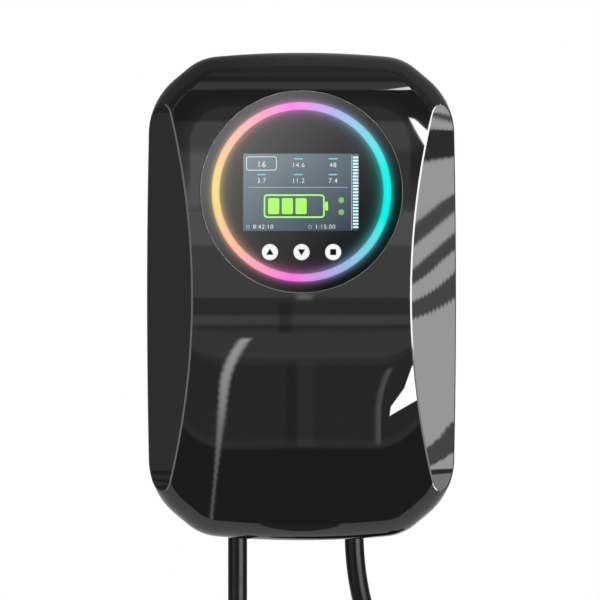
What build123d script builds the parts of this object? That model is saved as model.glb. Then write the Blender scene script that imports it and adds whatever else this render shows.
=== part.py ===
from build123d import *
import math
import os

# Frame: X to the right, Y into the wall, Z up, in millimetres.
# The origin is the centre of the wall bracket's holes, on the wall.
# A depth is a distance in front of the wall.

# Box: outline in the front view
BOX_WIDTH = 224.2
BOX_HEIGHT = 353.0
BOX_DEPTH = 105.0
CORNER_CUT_WIDTH = 38.6
CORNER_CUT_HEIGHT = 34.7
TOP_CROWN = 4.1
SIDE_BULGE = 2.2
UPPER_CORNER_RADIUS = 38.0
SIDE_CORNER_RADIUS = 52.0
TOP_ROLL_RADIUS = 14.0
BOTTOM_ROLL_RADIUS = 12.0
TOP_SWEEP_RADIUS = 60.0
TOP_SWEEP_START = 27.5
WALL = 3.0

# Side facets: each is the trace of a large slanted cylinder, FACET_WIDTH wide at half height
FACET_WIDTH = 33.1
CREASE_RADIUS = 570.0
FACET_SLOPE = 38.0
CREASE_EDGE_RADIUS = 2.0

# Parting line, sealing flange and gasket
RIM_WALL_GAP = 1.0
PARTING_DEPTH = 48.0
FLANGE_WIDTH = 7.0
FLANGE_THICKNESS = 4.0
GROOVE_INSET = 4.6
GROOVE_WIDTH = 3.0
GROOVE_DEPTH = 2.0
GASKET_CLEARANCE = 0.2
REAR_EDGE_RADIUS = 2.0

# Back wall and the space for the bracket behind it
BRACKET_SPACE = 11.0
FLOOR_DEPTH = BRACKET_SPACE + WALL

# Cover screws, from behind
COVER_SCREW_RADIUS = 2.0
COVER_SCREW_LENGTH = 20.0
COVER_SCREW_HEAD_RADIUS = 3.6
COVER_SCREW_HEAD_HEIGHT = 2.8
COVER_SCREW_GRIP = 10.0
COVER_BOSS_RADIUS = 5.6
COVER_BOSS_HEIGHT = 15.0
COVER_SCREW_SIDE_INSET = 14.0
COVER_SCREW_CORNER_SIDE_INSET = 33.0
COVER_SCREW_CORNER_TOP_INSET = 29.0
SCREW_CLEARANCE = 0.3
THREAD_CLEARANCE = 0.05
HEAD_CLEARANCE = 0.6
SOCKET_ROOM_share = 0.55
SOCKET_DEPTH_share = 0.6

# Cable bay in the bottom of the rear housing
BAY_LEFT = 76.0
BAY_RIGHT = 68.0
BAY_HEIGHT = 31.5
BAY_WALL = 3.0

# Display disc in the front
DISC_HEIGHT = 75.5
DISC_RADIUS = 73.5
GLASS_THICKNESS = 3.0
GLASS_PROUD = 0.4
GLASS_EDGE_CHAMFER = 0.5
DISC_RIM_GAP = 0.4
LENS_GASKET_THICKNESS = 0.5
LENS_GASKET_WIDTH = 3.6
WELL_LEDGE_WIDTH = 4.5
WELL_LEDGE_THICKNESS = 4.0
WELL_WALL = 4.6
MASK_GAP = 0.2

# Light ring under the glass
RING_OUTER_RADIUS = 64.8
RING_INNER_RADIUS = 59.3
RING_THICKNESS = 4.0
RING_CLEARANCE = 0.15
RING_LED_COUNT = 24
LED_WINDOW_RADIUS = 2.0
LED_LENGTH = 3.5
LED_WIDTH = 2.8
LED_HEIGHT = 1.9

# Display module
LCD_OFFSET = -0.3
PANEL_WIDTH = 92.6
PANEL_HEIGHT = 62.6
PANEL_THICKNESS = 2.2
PANEL_CLEARANCE = 0.2
LCD_FRAME_WALL = 0.8
LCD_FRAME_DEPTH = 3.6
LCD_FRAME_CORNER = 2.0
LCD_CLEARANCE = 0.2

# Carrier behind the glass
CARRIER_GAP = 0.4
CARRIER_THICKNESS = 8.0
CARRIER_FLANGE_WIDTH = 8.0
CARRIER_FLANGE_THICKNESS = 3.0
CARRIER_SCREW_COUNT = 6
SMALL_SCREW_RADIUS = 1.25
SMALL_SCREW_LENGTH = 6.0
SMALL_SCREW_HEAD_RADIUS = 2.3
SMALL_SCREW_HEAD_HEIGHT = 1.6
POST_RADIUS = 3.2
POST_CIRCLE_RADIUS = 54.0
POST_ANGLES = (52, 128, 196, 344)

# Push buttons
BUTTON_PITCH = 22.8
BUTTON_DROP = 43.5
BUTTON_RADIUS = 5.8
BUTTON_HOLE_GAP = 0.4
BUTTON_PROUD = 1.2
BUTTON_EDGE_RADIUS = 0.5
BUTTON_TRAVEL = 0.8
BUTTON_FLANGE_RADIUS = 7.2
BUTTON_FLANGE_THICKNESS = 1.0
BUTTON_FLANGE_GAP = 0.2
BUTTON_STEM_RADIUS = 3.0
BUTTON_FIT = 0.06
SWITCH_SIZE = 6.0
SWITCH_HEIGHT = 3.5
PLUNGER_RADIUS = 1.75
PLUNGER_PROUD = 1.3
PLUNGER_LENGTH = 2.6
PLUNGER_FIT = 0.05

# Display board
BOARD_THICKNESS = 1.6
DISPLAY_BOARD_RADIUS = 67.0
DISPLAY_BOARD_SETBACK = 5.6

# Main board and what it carries
MAIN_BOARD_WIDTH = 150.0
MAIN_BOARD_HEIGHT = 220.0
MAIN_BOARD_RISE = -5.0
MAIN_BOARD_CORNER = 3.0
STANDOFF_HEIGHT = 10.4
STANDOFF_RADIUS = 4.0
BOARD_HOLE_INSET = 6.0
BOARD_SCREW_RADIUS = 1.5
BOARD_SCREW_LENGTH = 8.0
BOARD_SCREW_HEAD_RADIUS = 2.8
BOARD_SCREW_HEAD_HEIGHT = 2.0

RELAY_WIDTH = 32.0
RELAY_HEIGHT = 28.0
RELAY_DEPTH = 26.0
RELAY_OFFSET = 24.0
RELAY_RISE = -28.0
RELAY_EDGE_RADIUS = 1.2

TRANSFORMER_OFFSET = -36.0
TRANSFORMER_RISE = 26.0
CORE_WIDTH = 36.0
CORE_HEIGHT = 30.0
CORE_DEPTH = 16.0
CORE_LIMB = 6.0
CORE_LIFT = 6.0
BOBBIN_DEPTH = 27.0

CAPACITOR_PLACES = ((4.0, 34.0), (24.0, 34.0), (44.0, 34.0))
CAPACITOR_RADIUS = 8.0
CAPACITOR_HEIGHT = 27.0
CAPACITOR_EDGE_RADIUS = 1.0

FUSE_OFFSET = -46.8
FUSE_RISE = -54.0
FUSE_RADIUS = 2.6
FUSE_LENGTH = 20.0
FUSE_LIFT = 6.0
CLIP_WIDTH = 5.0
CLIP_WALL = 0.8

BUZZER_OFFSET = 54.0
BUZZER_RISE = 4.0
BUZZER_RADIUS = 6.0
BUZZER_HEIGHT = 7.5
BUZZER_PORT_RADIUS = 1.2

RADIO_OFFSET = 46.0
RADIO_TOP_INSET = 14.5
RADIO_WIDTH = 18.0
RADIO_HEIGHT = 25.0
RADIO_BASE = 0.8
RADIO_CAN_HEIGHT = 2.4
RADIO_CAN_MARGIN = 1.2
RADIO_AERIAL = 6.0

CHIP_OFFSET = -30.0
CHIP_TOP_INSET = 12.0
CHIP_SIZE = 14.0
CHIP_HEIGHT = 1.6

# Terminal blocks
SUPPLY_POLES = 3
OUTPUT_POLES = 4
POLE_PITCH = 12.0
BLOCK_END = 2.0
BLOCK_HEIGHT = 22.0
BLOCK_DEPTH = 22.0
BLOCK_RISE = -80.0
BLOCK_EDGE_RADIUS = 0.8
ENTRY_RADIUS = 3.0
ENTRY_DEPTH = 14.0
ENTRY_LIFT = 12.0
POLE_SCREW_RADIUS = 2.8
POLE_SCREW_SINK = 2.0
POLE_SCREW_HEIGHT = 4.0
POLE_SCREW_DROP = 2.0
POLE_SCREW_GAP = 0.2
SLOT_WIDTH = 0.9
SLOT_DEPTH = 1.0

# Leakage sensor ring round the live cores of the output
SENSOR_RISE = -101.5
SENSOR_OUTER_RADIUS = 13.0
SENSOR_INNER_RADIUS = 9.2
SENSOR_HEIGHT = 10.0
SENSOR_EDGE_RADIUS = 1.2

# Ribbon between the boards
RIBBON_RISE = 50.0
RIBBON_BOARD_RISE = 58.0
RIBBON_OFFSET = -2.0
RIBBON_WIDTH = 20.0
RIBBON_THICKNESS = 0.6
RIBBON_BEND = 6.0
RIBBON_RUN = 12.0
HEADER_WIDTH = 26.0
HEADER_HEIGHT = 6.0
HEADER_DEPTH = 7.0

# Cables
CABLE_RADIUS = 7.0
SUPPLY_OFFSET = -46.8
CHARGING_OFFSET = 38.5
CABLE_DEPTH = 30.5
SHEATH_END = -124.0
CORE_RADIUS = 2.3
PILOT_RADIUS = 1.2
CORE_CIRCLE_RADIUS = 3.4
CORE_LEAD_IN = 8.0
FERRULE_RADIUS = 1.9
FERRULE_LENGTH = 10.0

# Cable glands
GLAND_THREAD_RADIUS = 10.0
GLAND_THREAD_LENGTH = 13.0
GLAND_BORE_GAP = 0.1
GLAND_FLATS = 25.0
GLAND_FLANGE_HEIGHT = 4.0
GLAND_NECK_RADIUS = 10.6
GLAND_NECK_HEIGHT = 8.0
GLAND_HOLE_GAP = 0.2
GLAND_WASHER_THICKNESS = 1.2
GLAND_WASHER_RADIUS = 12.3
LOCK_NUT_HEIGHT = 5.0
DOME_GAP = 1.0
DOME_HEIGHT = 21.0
DOME_HEX_HEIGHT = 8.0
DOME_TOP_RADIUS = 12.2
DOME_MOUTH_RADIUS = 9.4
DOME_LIP = 4.0
GLAND_SEAL_RADIUS = 9.2

# Wall bracket
BRACKET_THICKNESS = 2.0
BRACKET_WIDTH = 150.0
BRACKET_HEIGHT = 244.0
BRACKET_CORNER = 10.0
BRACKET_HOLE_SPACING_X = 120.0
BRACKET_HOLE_SPACING_Z = 200.0
BRACKET_HOLE_RADIUS = 3.5
BRACKET_WINDOW_WIDTH = 84.0
BRACKET_WINDOW_HEIGHT = 130.0
TONGUE_WIDTH = 36.0
EAR_DEPTH = 10.0
EAR_THICKNESS = 2.0
HOOK_OFFSET = 45.0
HOOK_RISE = 108.0
HOOK_WIDTH = 18.0
HOOK_LIP = 9.0
HOOK_GAP = 0.3
POCKET_SIDE_GAP = 1.2
POCKET_DROP = 14.0
POCKET_WALL = 2.0

# Locking screw, from below
LOCK_SCREW_RADIUS = 2.5
LOCK_SCREW_HEAD_RADIUS = 4.2
LOCK_SCREW_HEAD_HEIGHT = 3.2
LOCK_SCREW_LENGTH = 12.0
LOCK_SCREW_SINK = 1.6
LOCK_BOSS_WIDTH = 16.0
LOCK_DEPTH = 6.0
LOCK_BOSS_FLOOR = 5.5

# Inner ribs of the cover, below the display
COVER_RIB_COUNT = 5
COVER_RIB_PITCH = 26.0
COVER_RIB_THICKNESS = 1.8
COVER_RIB_HEIGHT = 5.0
COVER_RIB_TOP = -16.0
COVER_RIB_BOTTOM = -140.0
COVER_CROSS_RIBS = (-48.0, -96.0)

# Charging lead below the box: it hangs from its gland, and its spare length is wound up below the box
LEAD_POINTS = (
    (38.5, -30.5, -146.0),
    (38.5, -30.5, -196.0),
    (48.0, -28.5, -241.0),
    (78.0, -25.0, -272.0),
    (94.0, -23.5, -283.0),
)
COIL_CENTRE_X = 68.0
COIL_CENTRE_Z = -378.0
COIL_RADIUS = 80.0
COIL_SECTION_RADIAL = 44.0
COIL_SECTION_AXIAL = 57.0
COIL_SECTION_CORNER = 9.0
TIE_WIDTH = 20.0
TIE_THICKNESS = 1.6
TIE_ANGLES = (122, 232, 302)
TAIL_POINTS = (
    (162.0, -37.5, -406.0),
    (162.6, -38.0, -436.0),
    (164.0, -40.0, -466.0),
)

# Supply lead: a tail with stripped cores
SUPPLY_POINTS = (
    (-46.8, -30.5, -146.0),
    (-46.8, -30.5, -300.0),
    (-50.5, -30.0, -440.0),
    (-60.0, -29.0, -572.0),
)
TAIL_CORE_LENGTH = 46.0
TAIL_FERRULE_LENGTH = 12.0
CORD_RADIUS_share = 0.45

# Charging connector at the end of the lead: its handle bends towards the nose
BOOT_LENGTH = 46.0
BOOT_ROOT_RADIUS = 13.0
BOOT_WALL = 2.2
BOOT_GROOVE_PITCH = 6.0
BOOT_GROOVE_WIDTH = 2.4
BOOT_GROOVE_DEPTH = 1.5
HANDLE_LENGTH = 118.0
HANDLE_BEND = 24.0
BEND_START_share = 0.5
BEND_END_share = 0.86
HANDLE_NECK_RADIUS = 15.0
HANDLE_GRIP_WIDTH = 35.0
HANDLE_GRIP_DEPTH = 42.0
GRIP_START_share = 0.25
GRIP_END_share = 0.5
HANDLE_COLLAR_RADIUS = 31.5
COLLAR_LENGTH = 15.0
COLLAR_EDGE_RADIUS = 1.5
GRIP_RIB_COUNT = 6
GRIP_RIB_PITCH = 6.5
GRIP_RIB_WIDTH = 2.6
GRIP_RIB_DEPTH = 1.2
NOSE_RADIUS = 28.0
NOSE_FLAT = 21.0
NOSE_WALL = 2.6
NOSE_LENGTH = 34.0
LATCH_SLOT_WIDTH = 9.0
LATCH_SLOT_LENGTH = 8.0
LATCH_SLOT_SETBACK = 9.0
INSERT_GAP = 0.3
INSERT_SETBACK = 4.0
INSERT_LENGTH = 28.0
CONTACT_RADIUS = 3.0
SIGNAL_RADIUS = 1.8
CONTACT_WELL_GAP = 0.8
CONTACT_LENGTH = 22.0
CONTACT_ANGLES = (150, 210, 90, 270)
CONTACT_RING_share = 0.6
SIGNAL_RISE_share = 0.55
SIGNAL_SPREAD_share = 0.28
CAP_WALL = 2.4
CAP_GAP = 0.2
CAP_DEPTH = 26.0
CAP_BEAD_WIDTH = 4.0
CAP_BEAD_HEIGHT = 1.4
CAP_TAB_WIDTH = 16.0
CAP_TAB_LENGTH = 14.0
CAP_TAB_THICKNESS = 3.0
CAP_TAB_HOLE_RADIUS = 3.0

# Overrun of every cutting tool past the face that it cuts
OVERRUN = 2.0

HALF_WIDTH = BOX_WIDTH / 2
HALF_HEIGHT = BOX_HEIGHT / 2
CREASE_HALF_WIDTH = HALF_WIDTH - FACET_WIDTH
WELL_RADIUS = DISC_RADIUS + DISC_RIM_GAP
WELL_HOLE_RADIUS = WELL_RADIUS - WELL_LEDGE_WIDTH
GLASS_FRONT = BOX_DEPTH + GLASS_PROUD
GLASS_BACK = GLASS_FRONT - GLASS_THICKNESS
WELL_FLOOR = GLASS_BACK - LENS_GASKET_THICKNESS
LEDGE_BACK = WELL_FLOOR - WELL_LEDGE_THICKNESS
CARRIER_FRONT = GLASS_BACK - MASK_GAP
CARRIER_FLANGE_BACK = LEDGE_BACK - CARRIER_FLANGE_THICKNESS
CARRIER_BACK = CARRIER_FRONT - CARRIER_THICKNESS
DISPLAY_BOARD_FRONT = CARRIER_FLANGE_BACK - DISPLAY_BOARD_SETBACK
DISPLAY_BOARD_BACK = DISPLAY_BOARD_FRONT - BOARD_THICKNESS
BUTTON_RISE = DISC_HEIGHT - BUTTON_DROP
LCD_RISE = DISC_HEIGHT + LCD_OFFSET
RING_MIDDLE_RADIUS = (RING_OUTER_RADIUS + RING_INNER_RADIUS) / 2
MAIN_BOARD_BACK = FLOOR_DEPTH + STANDOFF_HEIGHT
MAIN_BOARD_FRONT = MAIN_BOARD_BACK + BOARD_THICKNESS
MAIN_BOARD_TOP = MAIN_BOARD_RISE + MAIN_BOARD_HEIGHT / 2
RADIO_RISE = MAIN_BOARD_TOP - RADIO_TOP_INSET - RADIO_HEIGHT / 2
CHIP_RISE = MAIN_BOARD_TOP - CHIP_TOP_INSET - CHIP_SIZE / 2
BAY_CEILING = -HALF_HEIGHT + BAY_HEIGHT
BAY_FRONT = PARTING_DEPTH - BAY_WALL
BUTTON_OFFSETS = {"up": -BUTTON_PITCH, "down": 0, "stop": BUTTON_PITCH}


def slab(sketch, back, front):
    """A front-view sketch (X across, Z up) made solid between two depths."""
    return extrude(Plane.XZ.offset(back) * sketch, amount=front - back)


def rod(x, z, radius, back, front):
    """A round bar that runs front to back."""
    return slab(Pos(x, z) * Circle(radius), back, front)


def block(width, height, x, z, back, front):
    """A rectangular bar that runs front to back, centred on x and z."""
    return slab(Pos(x, z) * Rectangle(width, height), back, front)


def upright(x, depth, radius, bottom, top):
    """A round bar that stands along Z."""
    return extrude(Plane((x, -depth, bottom)) * Circle(radius), amount=top - bottom)


def polar(radius, angle):
    """X and Z offsets of a point at a radius and an angle in degrees."""
    return radius * math.cos(math.radians(angle)), radius * math.sin(math.radians(angle))


def screw(seat, radius, length, head_radius, head_height):
    """A screw whose head sits on the seat plane and whose shank runs along the plane's normal."""
    body = extrude(seat * Circle(radius), amount=length)
    body += extrude(seat * Circle(head_radius), amount=-head_height)
    room = head_radius * SOCKET_ROOM_share
    sink = head_height * SOCKET_DEPTH_share
    return body - extrude(seat.offset(-head_height) * RegularPolygon(room, 6), amount=sink)


def facing_front(x, z, depth):
    return Plane(origin=(x, -depth, z), x_dir=(1, 0, 0), z_dir=(0, -1, 0))


def facing_wall(x, z, depth):
    return Plane(origin=(x, -depth, z), x_dir=(1, 0, 0), z_dir=(0, 1, 0))


def outline(inset=0):
    """The box seen from the front: crowned ends, bulged sides and corners cut by blended diagonals."""
    end_x, end_z = HALF_WIDTH - CORNER_CUT_WIDTH, HALF_HEIGHT - TOP_CROWN
    side_x, side_z = HALF_WIDTH - SIDE_BULGE, HALF_HEIGHT - CORNER_CUT_HEIGHT
    edges = [
        ThreePointArc((-end_x, end_z), (0, HALF_HEIGHT), (end_x, end_z)),
        Line((end_x, end_z), (side_x, side_z)),
        ThreePointArc((side_x, side_z), (HALF_WIDTH, 0), (side_x, -side_z)),
        Line((side_x, -side_z), (end_x, -end_z)),
        ThreePointArc((end_x, -end_z), (0, -HALF_HEIGHT), (-end_x, -end_z)),
        Line((-end_x, -end_z), (-side_x, -side_z)),
        ThreePointArc((-side_x, -side_z), (-HALF_WIDTH, 0), (-side_x, side_z)),
        Line((-side_x, side_z), (-end_x, end_z)),
    ]
    face = make_face(edges)
    ends = [v for v in face.vertices() if abs(v.Y) > (end_z + side_z) / 2]
    face = fillet(ends, UPPER_CORNER_RADIUS)
    sides = [v for v in face.vertices() if abs(abs(v.X) - side_x) < SIDE_BULGE / 2]
    face = fillet(sides, SIDE_CORNER_RADIUS)
    return offset(face, amount=-inset) if inset else face


def top_sweep(inset):
    """What the cover's top edge loses as the front curves back towards the wall."""
    start = HALF_HEIGHT - TOP_SWEEP_START
    side_view = Plane(origin=(-BOX_WIDTH / 2, 0, 0), x_dir=(0, 1, 0), z_dir=(1, 0, 0))
    size = TOP_SWEEP_RADIUS
    square = Pos(-BOX_DEPTH - OVERRUN + size / 2, start + size / 2) * Rectangle(size, size)
    kept = Pos(size - BOX_DEPTH, start) * Circle(size - inset)
    return extrude(side_view * (square - kept), amount=BOX_WIDTH)


def rolled_half(inset, side, roll_radius):
    """The upper (side 1) or lower (side -1) half of the box with its front edge rolled back."""
    half = slab(outline(inset), PARTING_DEPTH, BOX_DEPTH - inset)
    half &= block(BOX_WIDTH, HALF_HEIGHT, 0, side * HALF_HEIGHT / 2, 0, BOX_DEPTH)
    sweep_line = HALF_HEIGHT - TOP_SWEEP_START
    if side > 0:
        half -= top_sweep(inset)
    rim = [e for e in half.edges().filter_by(is_rim) if abs(e.center().Z) > OVERRUN]
    rim = [e for e in rim if e.geom_type != GeomType.LINE or abs(e.center().Z - sweep_line) > OVERRUN / 2]
    return fillet(rim, roll_radius - inset)


def is_rim(edge):
    """True for an edge near the front that doesn't run front to back."""
    in_front = -edge.center().Y > (PARTING_DEPTH + BOX_DEPTH) / 2
    return in_front and abs((edge % 0.5).dot(Vector(0, 1, 0))) < math.cos(math.radians(FACET_SLOPE))


def facet_cutter(inset):
    """A large cylinder on a slanted axis: it scoops the right-hand facet out of the front."""
    slope = math.radians(FACET_SLOPE)
    along = Vector(math.cos(slope), math.sin(slope), 0)
    outward = Vector(math.sin(slope), -math.cos(slope), 0)
    radius = CREASE_RADIUS / math.sin(slope)
    centre = Vector(CREASE_HALF_WIDTH, -BOX_DEPTH, 0) + outward * radius
    return Plane(origin=centre, z_dir=along) * Cylinder(radius + inset, BOX_WIDTH)


def cover_form(inset):
    """The whole form of the cover, moved inwards by an inset."""
    form = rolled_half(inset, 1, TOP_ROLL_RADIUS) + rolled_half(inset, -1, BOTTOM_ROLL_RADIUS)
    cutter = facet_cutter(inset)
    return form - cutter - mirror(cutter, Plane.YZ)


def outer_form():
    """The cover's outside, with its two creases eased."""
    form = cover_form(0)
    front = [f for f in form.faces().filter_by(GeomType.PLANE) if abs(f.center().Y + BOX_DEPTH) < WALL / 2]
    creases = [e for f in front for e in f.edges() if e.geom_type == GeomType.ELLIPSE]
    return fillet(creases, CREASE_EDGE_RADIUS)


def cover_screw_places():
    """Centres of the six cover screws: four near the corners and two at the sides."""
    corner_x = HALF_WIDTH - COVER_SCREW_CORNER_SIDE_INSET
    corner_z = HALF_HEIGHT - COVER_SCREW_CORNER_TOP_INSET
    side_x = HALF_WIDTH - COVER_SCREW_SIDE_INSET
    places = [(sx * corner_x, sz * corner_z) for sx in (-1, 1) for sz in (-1, 1)]
    return places + [(-side_x, 0), (side_x, 0)]


def ring_sketch(outer_inset, width):
    """A band that follows the outline, from an inset and inwards by a width."""
    return outline(outer_inset) - outline(outer_inset + width)


def make_front_cover():
    shell = outer_form() - cover_form(WALL)
    flange = ring_sketch(WALL / 2, WALL / 2 + FLANGE_WIDTH)
    shell += slab(flange, PARTING_DEPTH, PARTING_DEPTH + FLANGE_THICKNESS)
    inside = cover_form(WALL / 2)
    for x, z in cover_screw_places():
        boss = rod(x, z, COVER_BOSS_RADIUS, PARTING_DEPTH, PARTING_DEPTH + COVER_BOSS_HEIGHT)
        shell += boss & inside
    well = rod(0, DISC_HEIGHT, WELL_RADIUS + WELL_WALL, LEDGE_BACK, BOX_DEPTH - WALL / 2)
    ribs = cover_ribs()
    shell += well & inside
    shell += ribs & inside
    shell -= rod(0, DISC_HEIGHT, WELL_RADIUS, WELL_FLOOR, BOX_DEPTH + OVERRUN)
    shell -= rod(0, DISC_HEIGHT, WELL_HOLE_RADIUS, LEDGE_BACK - OVERRUN, BOX_DEPTH)
    pilot_radius = COVER_SCREW_RADIUS + THREAD_CLEARANCE
    for x, z in cover_screw_places():
        shell -= rod(x, z, pilot_radius, PARTING_DEPTH - OVERRUN, PARTING_DEPTH + COVER_SCREW_GRIP + OVERRUN)
    for x, z in carrier_screw_places():
        shell -= rod(x, z, SMALL_SCREW_RADIUS + THREAD_CLEARANCE, LEDGE_BACK - OVERRUN, carrier_screw_tip())
    return shell


def cover_ribs():
    """Stiffening ribs on the inner face of the cover, below the display."""
    back = BOX_DEPTH - WALL - COVER_RIB_HEIGHT
    front = BOX_DEPTH - WALL / 2
    height = COVER_RIB_TOP - COVER_RIB_BOTTOM
    middle = (COVER_RIB_TOP + COVER_RIB_BOTTOM) / 2
    first = -(COVER_RIB_COUNT - 1) / 2
    ribs = Part()
    for number in range(COVER_RIB_COUNT):
        x = (first + number) * COVER_RIB_PITCH
        ribs += block(COVER_RIB_THICKNESS, height, x, middle, back, front)
    for z in COVER_CROSS_RIBS:
        span = (COVER_RIB_COUNT - 1) * COVER_RIB_PITCH
        ribs += block(span, COVER_RIB_THICKNESS, 0, z, back, front)
    return ribs


def hook_pocket_sketch(grow):
    """The pocket of one hook in the front view, grown on every side."""
    width = HOOK_WIDTH + 2 * (POCKET_SIDE_GAP + grow)
    bottom = HOOK_RISE - POCKET_DROP - grow
    top = HOOK_RISE + HOOK_LIP + POCKET_SIDE_GAP + grow
    return Pos(0, (bottom + top) / 2) * Rectangle(width, top - bottom)


def make_rear_housing():
    housing = slab(outline(), RIM_WALL_GAP, PARTING_DEPTH)
    housing = fillet(housing.edges().group_by(Axis.Y)[-1], REAR_EDGE_RADIUS)
    housing -= slab(outline(WALL), FLOOR_DEPTH, PARTING_DEPTH + OVERRUN)
    housing -= slab(outline(WALL), RIM_WALL_GAP - OVERRUN, BRACKET_SPACE)
    flange = ring_sketch(WALL / 2, WALL / 2 + FLANGE_WIDTH)
    housing += slab(flange, PARTING_DEPTH - FLANGE_THICKNESS, PARTING_DEPTH)
    housing += bay_block(BAY_WALL, FLOOR_DEPTH - WALL / 2, PARTING_DEPTH)
    housing -= bay_block(0, FLOOR_DEPTH, BAY_FRONT)
    housing -= bay_mouth()
    for x, z in cover_screw_places():
        housing += rod(x, z, COVER_BOSS_RADIUS, FLOOR_DEPTH - WALL / 2, PARTING_DEPTH)
    for x, z in board_screw_places():
        housing += rod(x, z, STANDOFF_RADIUS, FLOOR_DEPTH - WALL / 2, MAIN_BOARD_BACK)
        pilot = BOARD_SCREW_RADIUS + THREAD_CLEARANCE
        pilot_floor = MAIN_BOARD_FRONT - BOARD_SCREW_LENGTH - OVERRUN / 2
        housing -= rod(x, z, pilot, pilot_floor, MAIN_BOARD_BACK + OVERRUN)
    for side in (-1, 1):
        housing += Pos(side * HOOK_OFFSET, 0, 0) * hook_pocket()
        housing -= Pos(side * HOOK_OFFSET, 0, 0) * hook_room()
    housing += lock_boss()
    housing -= lock_bore()
    head_seat = PARTING_DEPTH + COVER_SCREW_GRIP - COVER_SCREW_LENGTH
    outside = BRACKET_SPACE - OVERRUN
    for x, z in cover_screw_places():
        housing -= rod(x, z, COVER_SCREW_RADIUS + SCREW_CLEARANCE, outside, PARTING_DEPTH + OVERRUN)
        housing -= rod(x, z, COVER_SCREW_HEAD_RADIUS + HEAD_CLEARANCE, outside, head_seat)
    housing -= slab(
        ring_sketch(GROOVE_INSET, GROOVE_WIDTH), PARTING_DEPTH - GROOVE_DEPTH, PARTING_DEPTH + OVERRUN
    )
    hole = GLAND_THREAD_RADIUS + GLAND_HOLE_GAP
    for x in (SUPPLY_OFFSET, CHARGING_OFFSET):
        housing -= upright(x, CABLE_DEPTH, hole, BAY_CEILING - OVERRUN, BAY_CEILING + BAY_WALL + OVERRUN)
    return housing


def bay_block(grow, back, front):
    """The cable bay as a solid, grown at its sides and its ceiling, inside the outline."""
    left = -BAY_LEFT - grow
    right = BAY_RIGHT + grow
    top = BAY_CEILING + grow
    sketch = Pos((left + right) / 2, (top - HALF_HEIGHT) / 2) * Rectangle(right - left, top + HALF_HEIGHT)
    return slab(sketch & outline(WALL / 2), back, front)


def bay_mouth():
    """Opens the bay through the bottom wall."""
    middle = (BAY_RIGHT - BAY_LEFT) / 2
    bottom = -HALF_HEIGHT - OVERRUN
    height = BAY_HEIGHT
    return block(BAY_LEFT + BAY_RIGHT, height, middle, bottom + height / 2, FLOOR_DEPTH, BAY_FRONT)


def hook_pocket():
    """Moulded cover over one hook, on the inner face of the back wall."""
    front = FLOOR_DEPTH + HOOK_GAP + BRACKET_THICKNESS + HOOK_GAP + POCKET_WALL
    return slab(hook_pocket_sketch(POCKET_WALL), FLOOR_DEPTH - WALL / 2, front)


def hook_room():
    """Room for one hook: the pocket, and the opening below the edge that hangs on the hook."""
    front = FLOOR_DEPTH + HOOK_GAP + BRACKET_THICKNESS + HOOK_GAP
    width = HOOK_WIDTH + 2 * POCKET_SIDE_GAP
    opening = block(width, POCKET_DROP, 0, HOOK_RISE - POCKET_DROP / 2, BRACKET_SPACE - OVERRUN, front)
    return opening + slab(hook_pocket_sketch(0), FLOOR_DEPTH, front)


def lock_boss():
    """Boss in the bottom of the skirt that the locking screw's head sits in."""
    floor = skirt_floor()
    return block(
        LOCK_BOSS_WIDTH, WALL + LOCK_BOSS_FLOOR, 0, floor - WALL / 2 + LOCK_BOSS_FLOOR / 2,
        RIM_WALL_GAP, BRACKET_SPACE + WALL / 2,
    ) & slab(outline(), RIM_WALL_GAP, FLOOR_DEPTH)


def skirt_floor():
    """Height of the inner face of the bottom wall, on the middle line."""
    return -HALF_HEIGHT + WALL


def lock_seat():
    """Height of the face that the locking screw's head bears on."""
    return -HALF_HEIGHT + LOCK_SCREW_SINK + LOCK_SCREW_HEAD_HEIGHT


def lock_bore():
    head_room = LOCK_SCREW_HEAD_RADIUS + SCREW_CLEARANCE
    bore = upright(0, LOCK_DEPTH, head_room, -HALF_HEIGHT - OVERRUN, lock_seat())
    top = skirt_floor() + LOCK_BOSS_FLOOR + OVERRUN
    return bore + upright(0, LOCK_DEPTH, LOCK_SCREW_RADIUS + SCREW_CLEARANCE, lock_seat() - OVERRUN, top)


def make_lock_screw():
    seat = Plane((0, -LOCK_DEPTH, lock_seat()))
    return screw(seat, LOCK_SCREW_RADIUS, LOCK_SCREW_LENGTH, LOCK_SCREW_HEAD_RADIUS, LOCK_SCREW_HEAD_HEIGHT)


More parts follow.
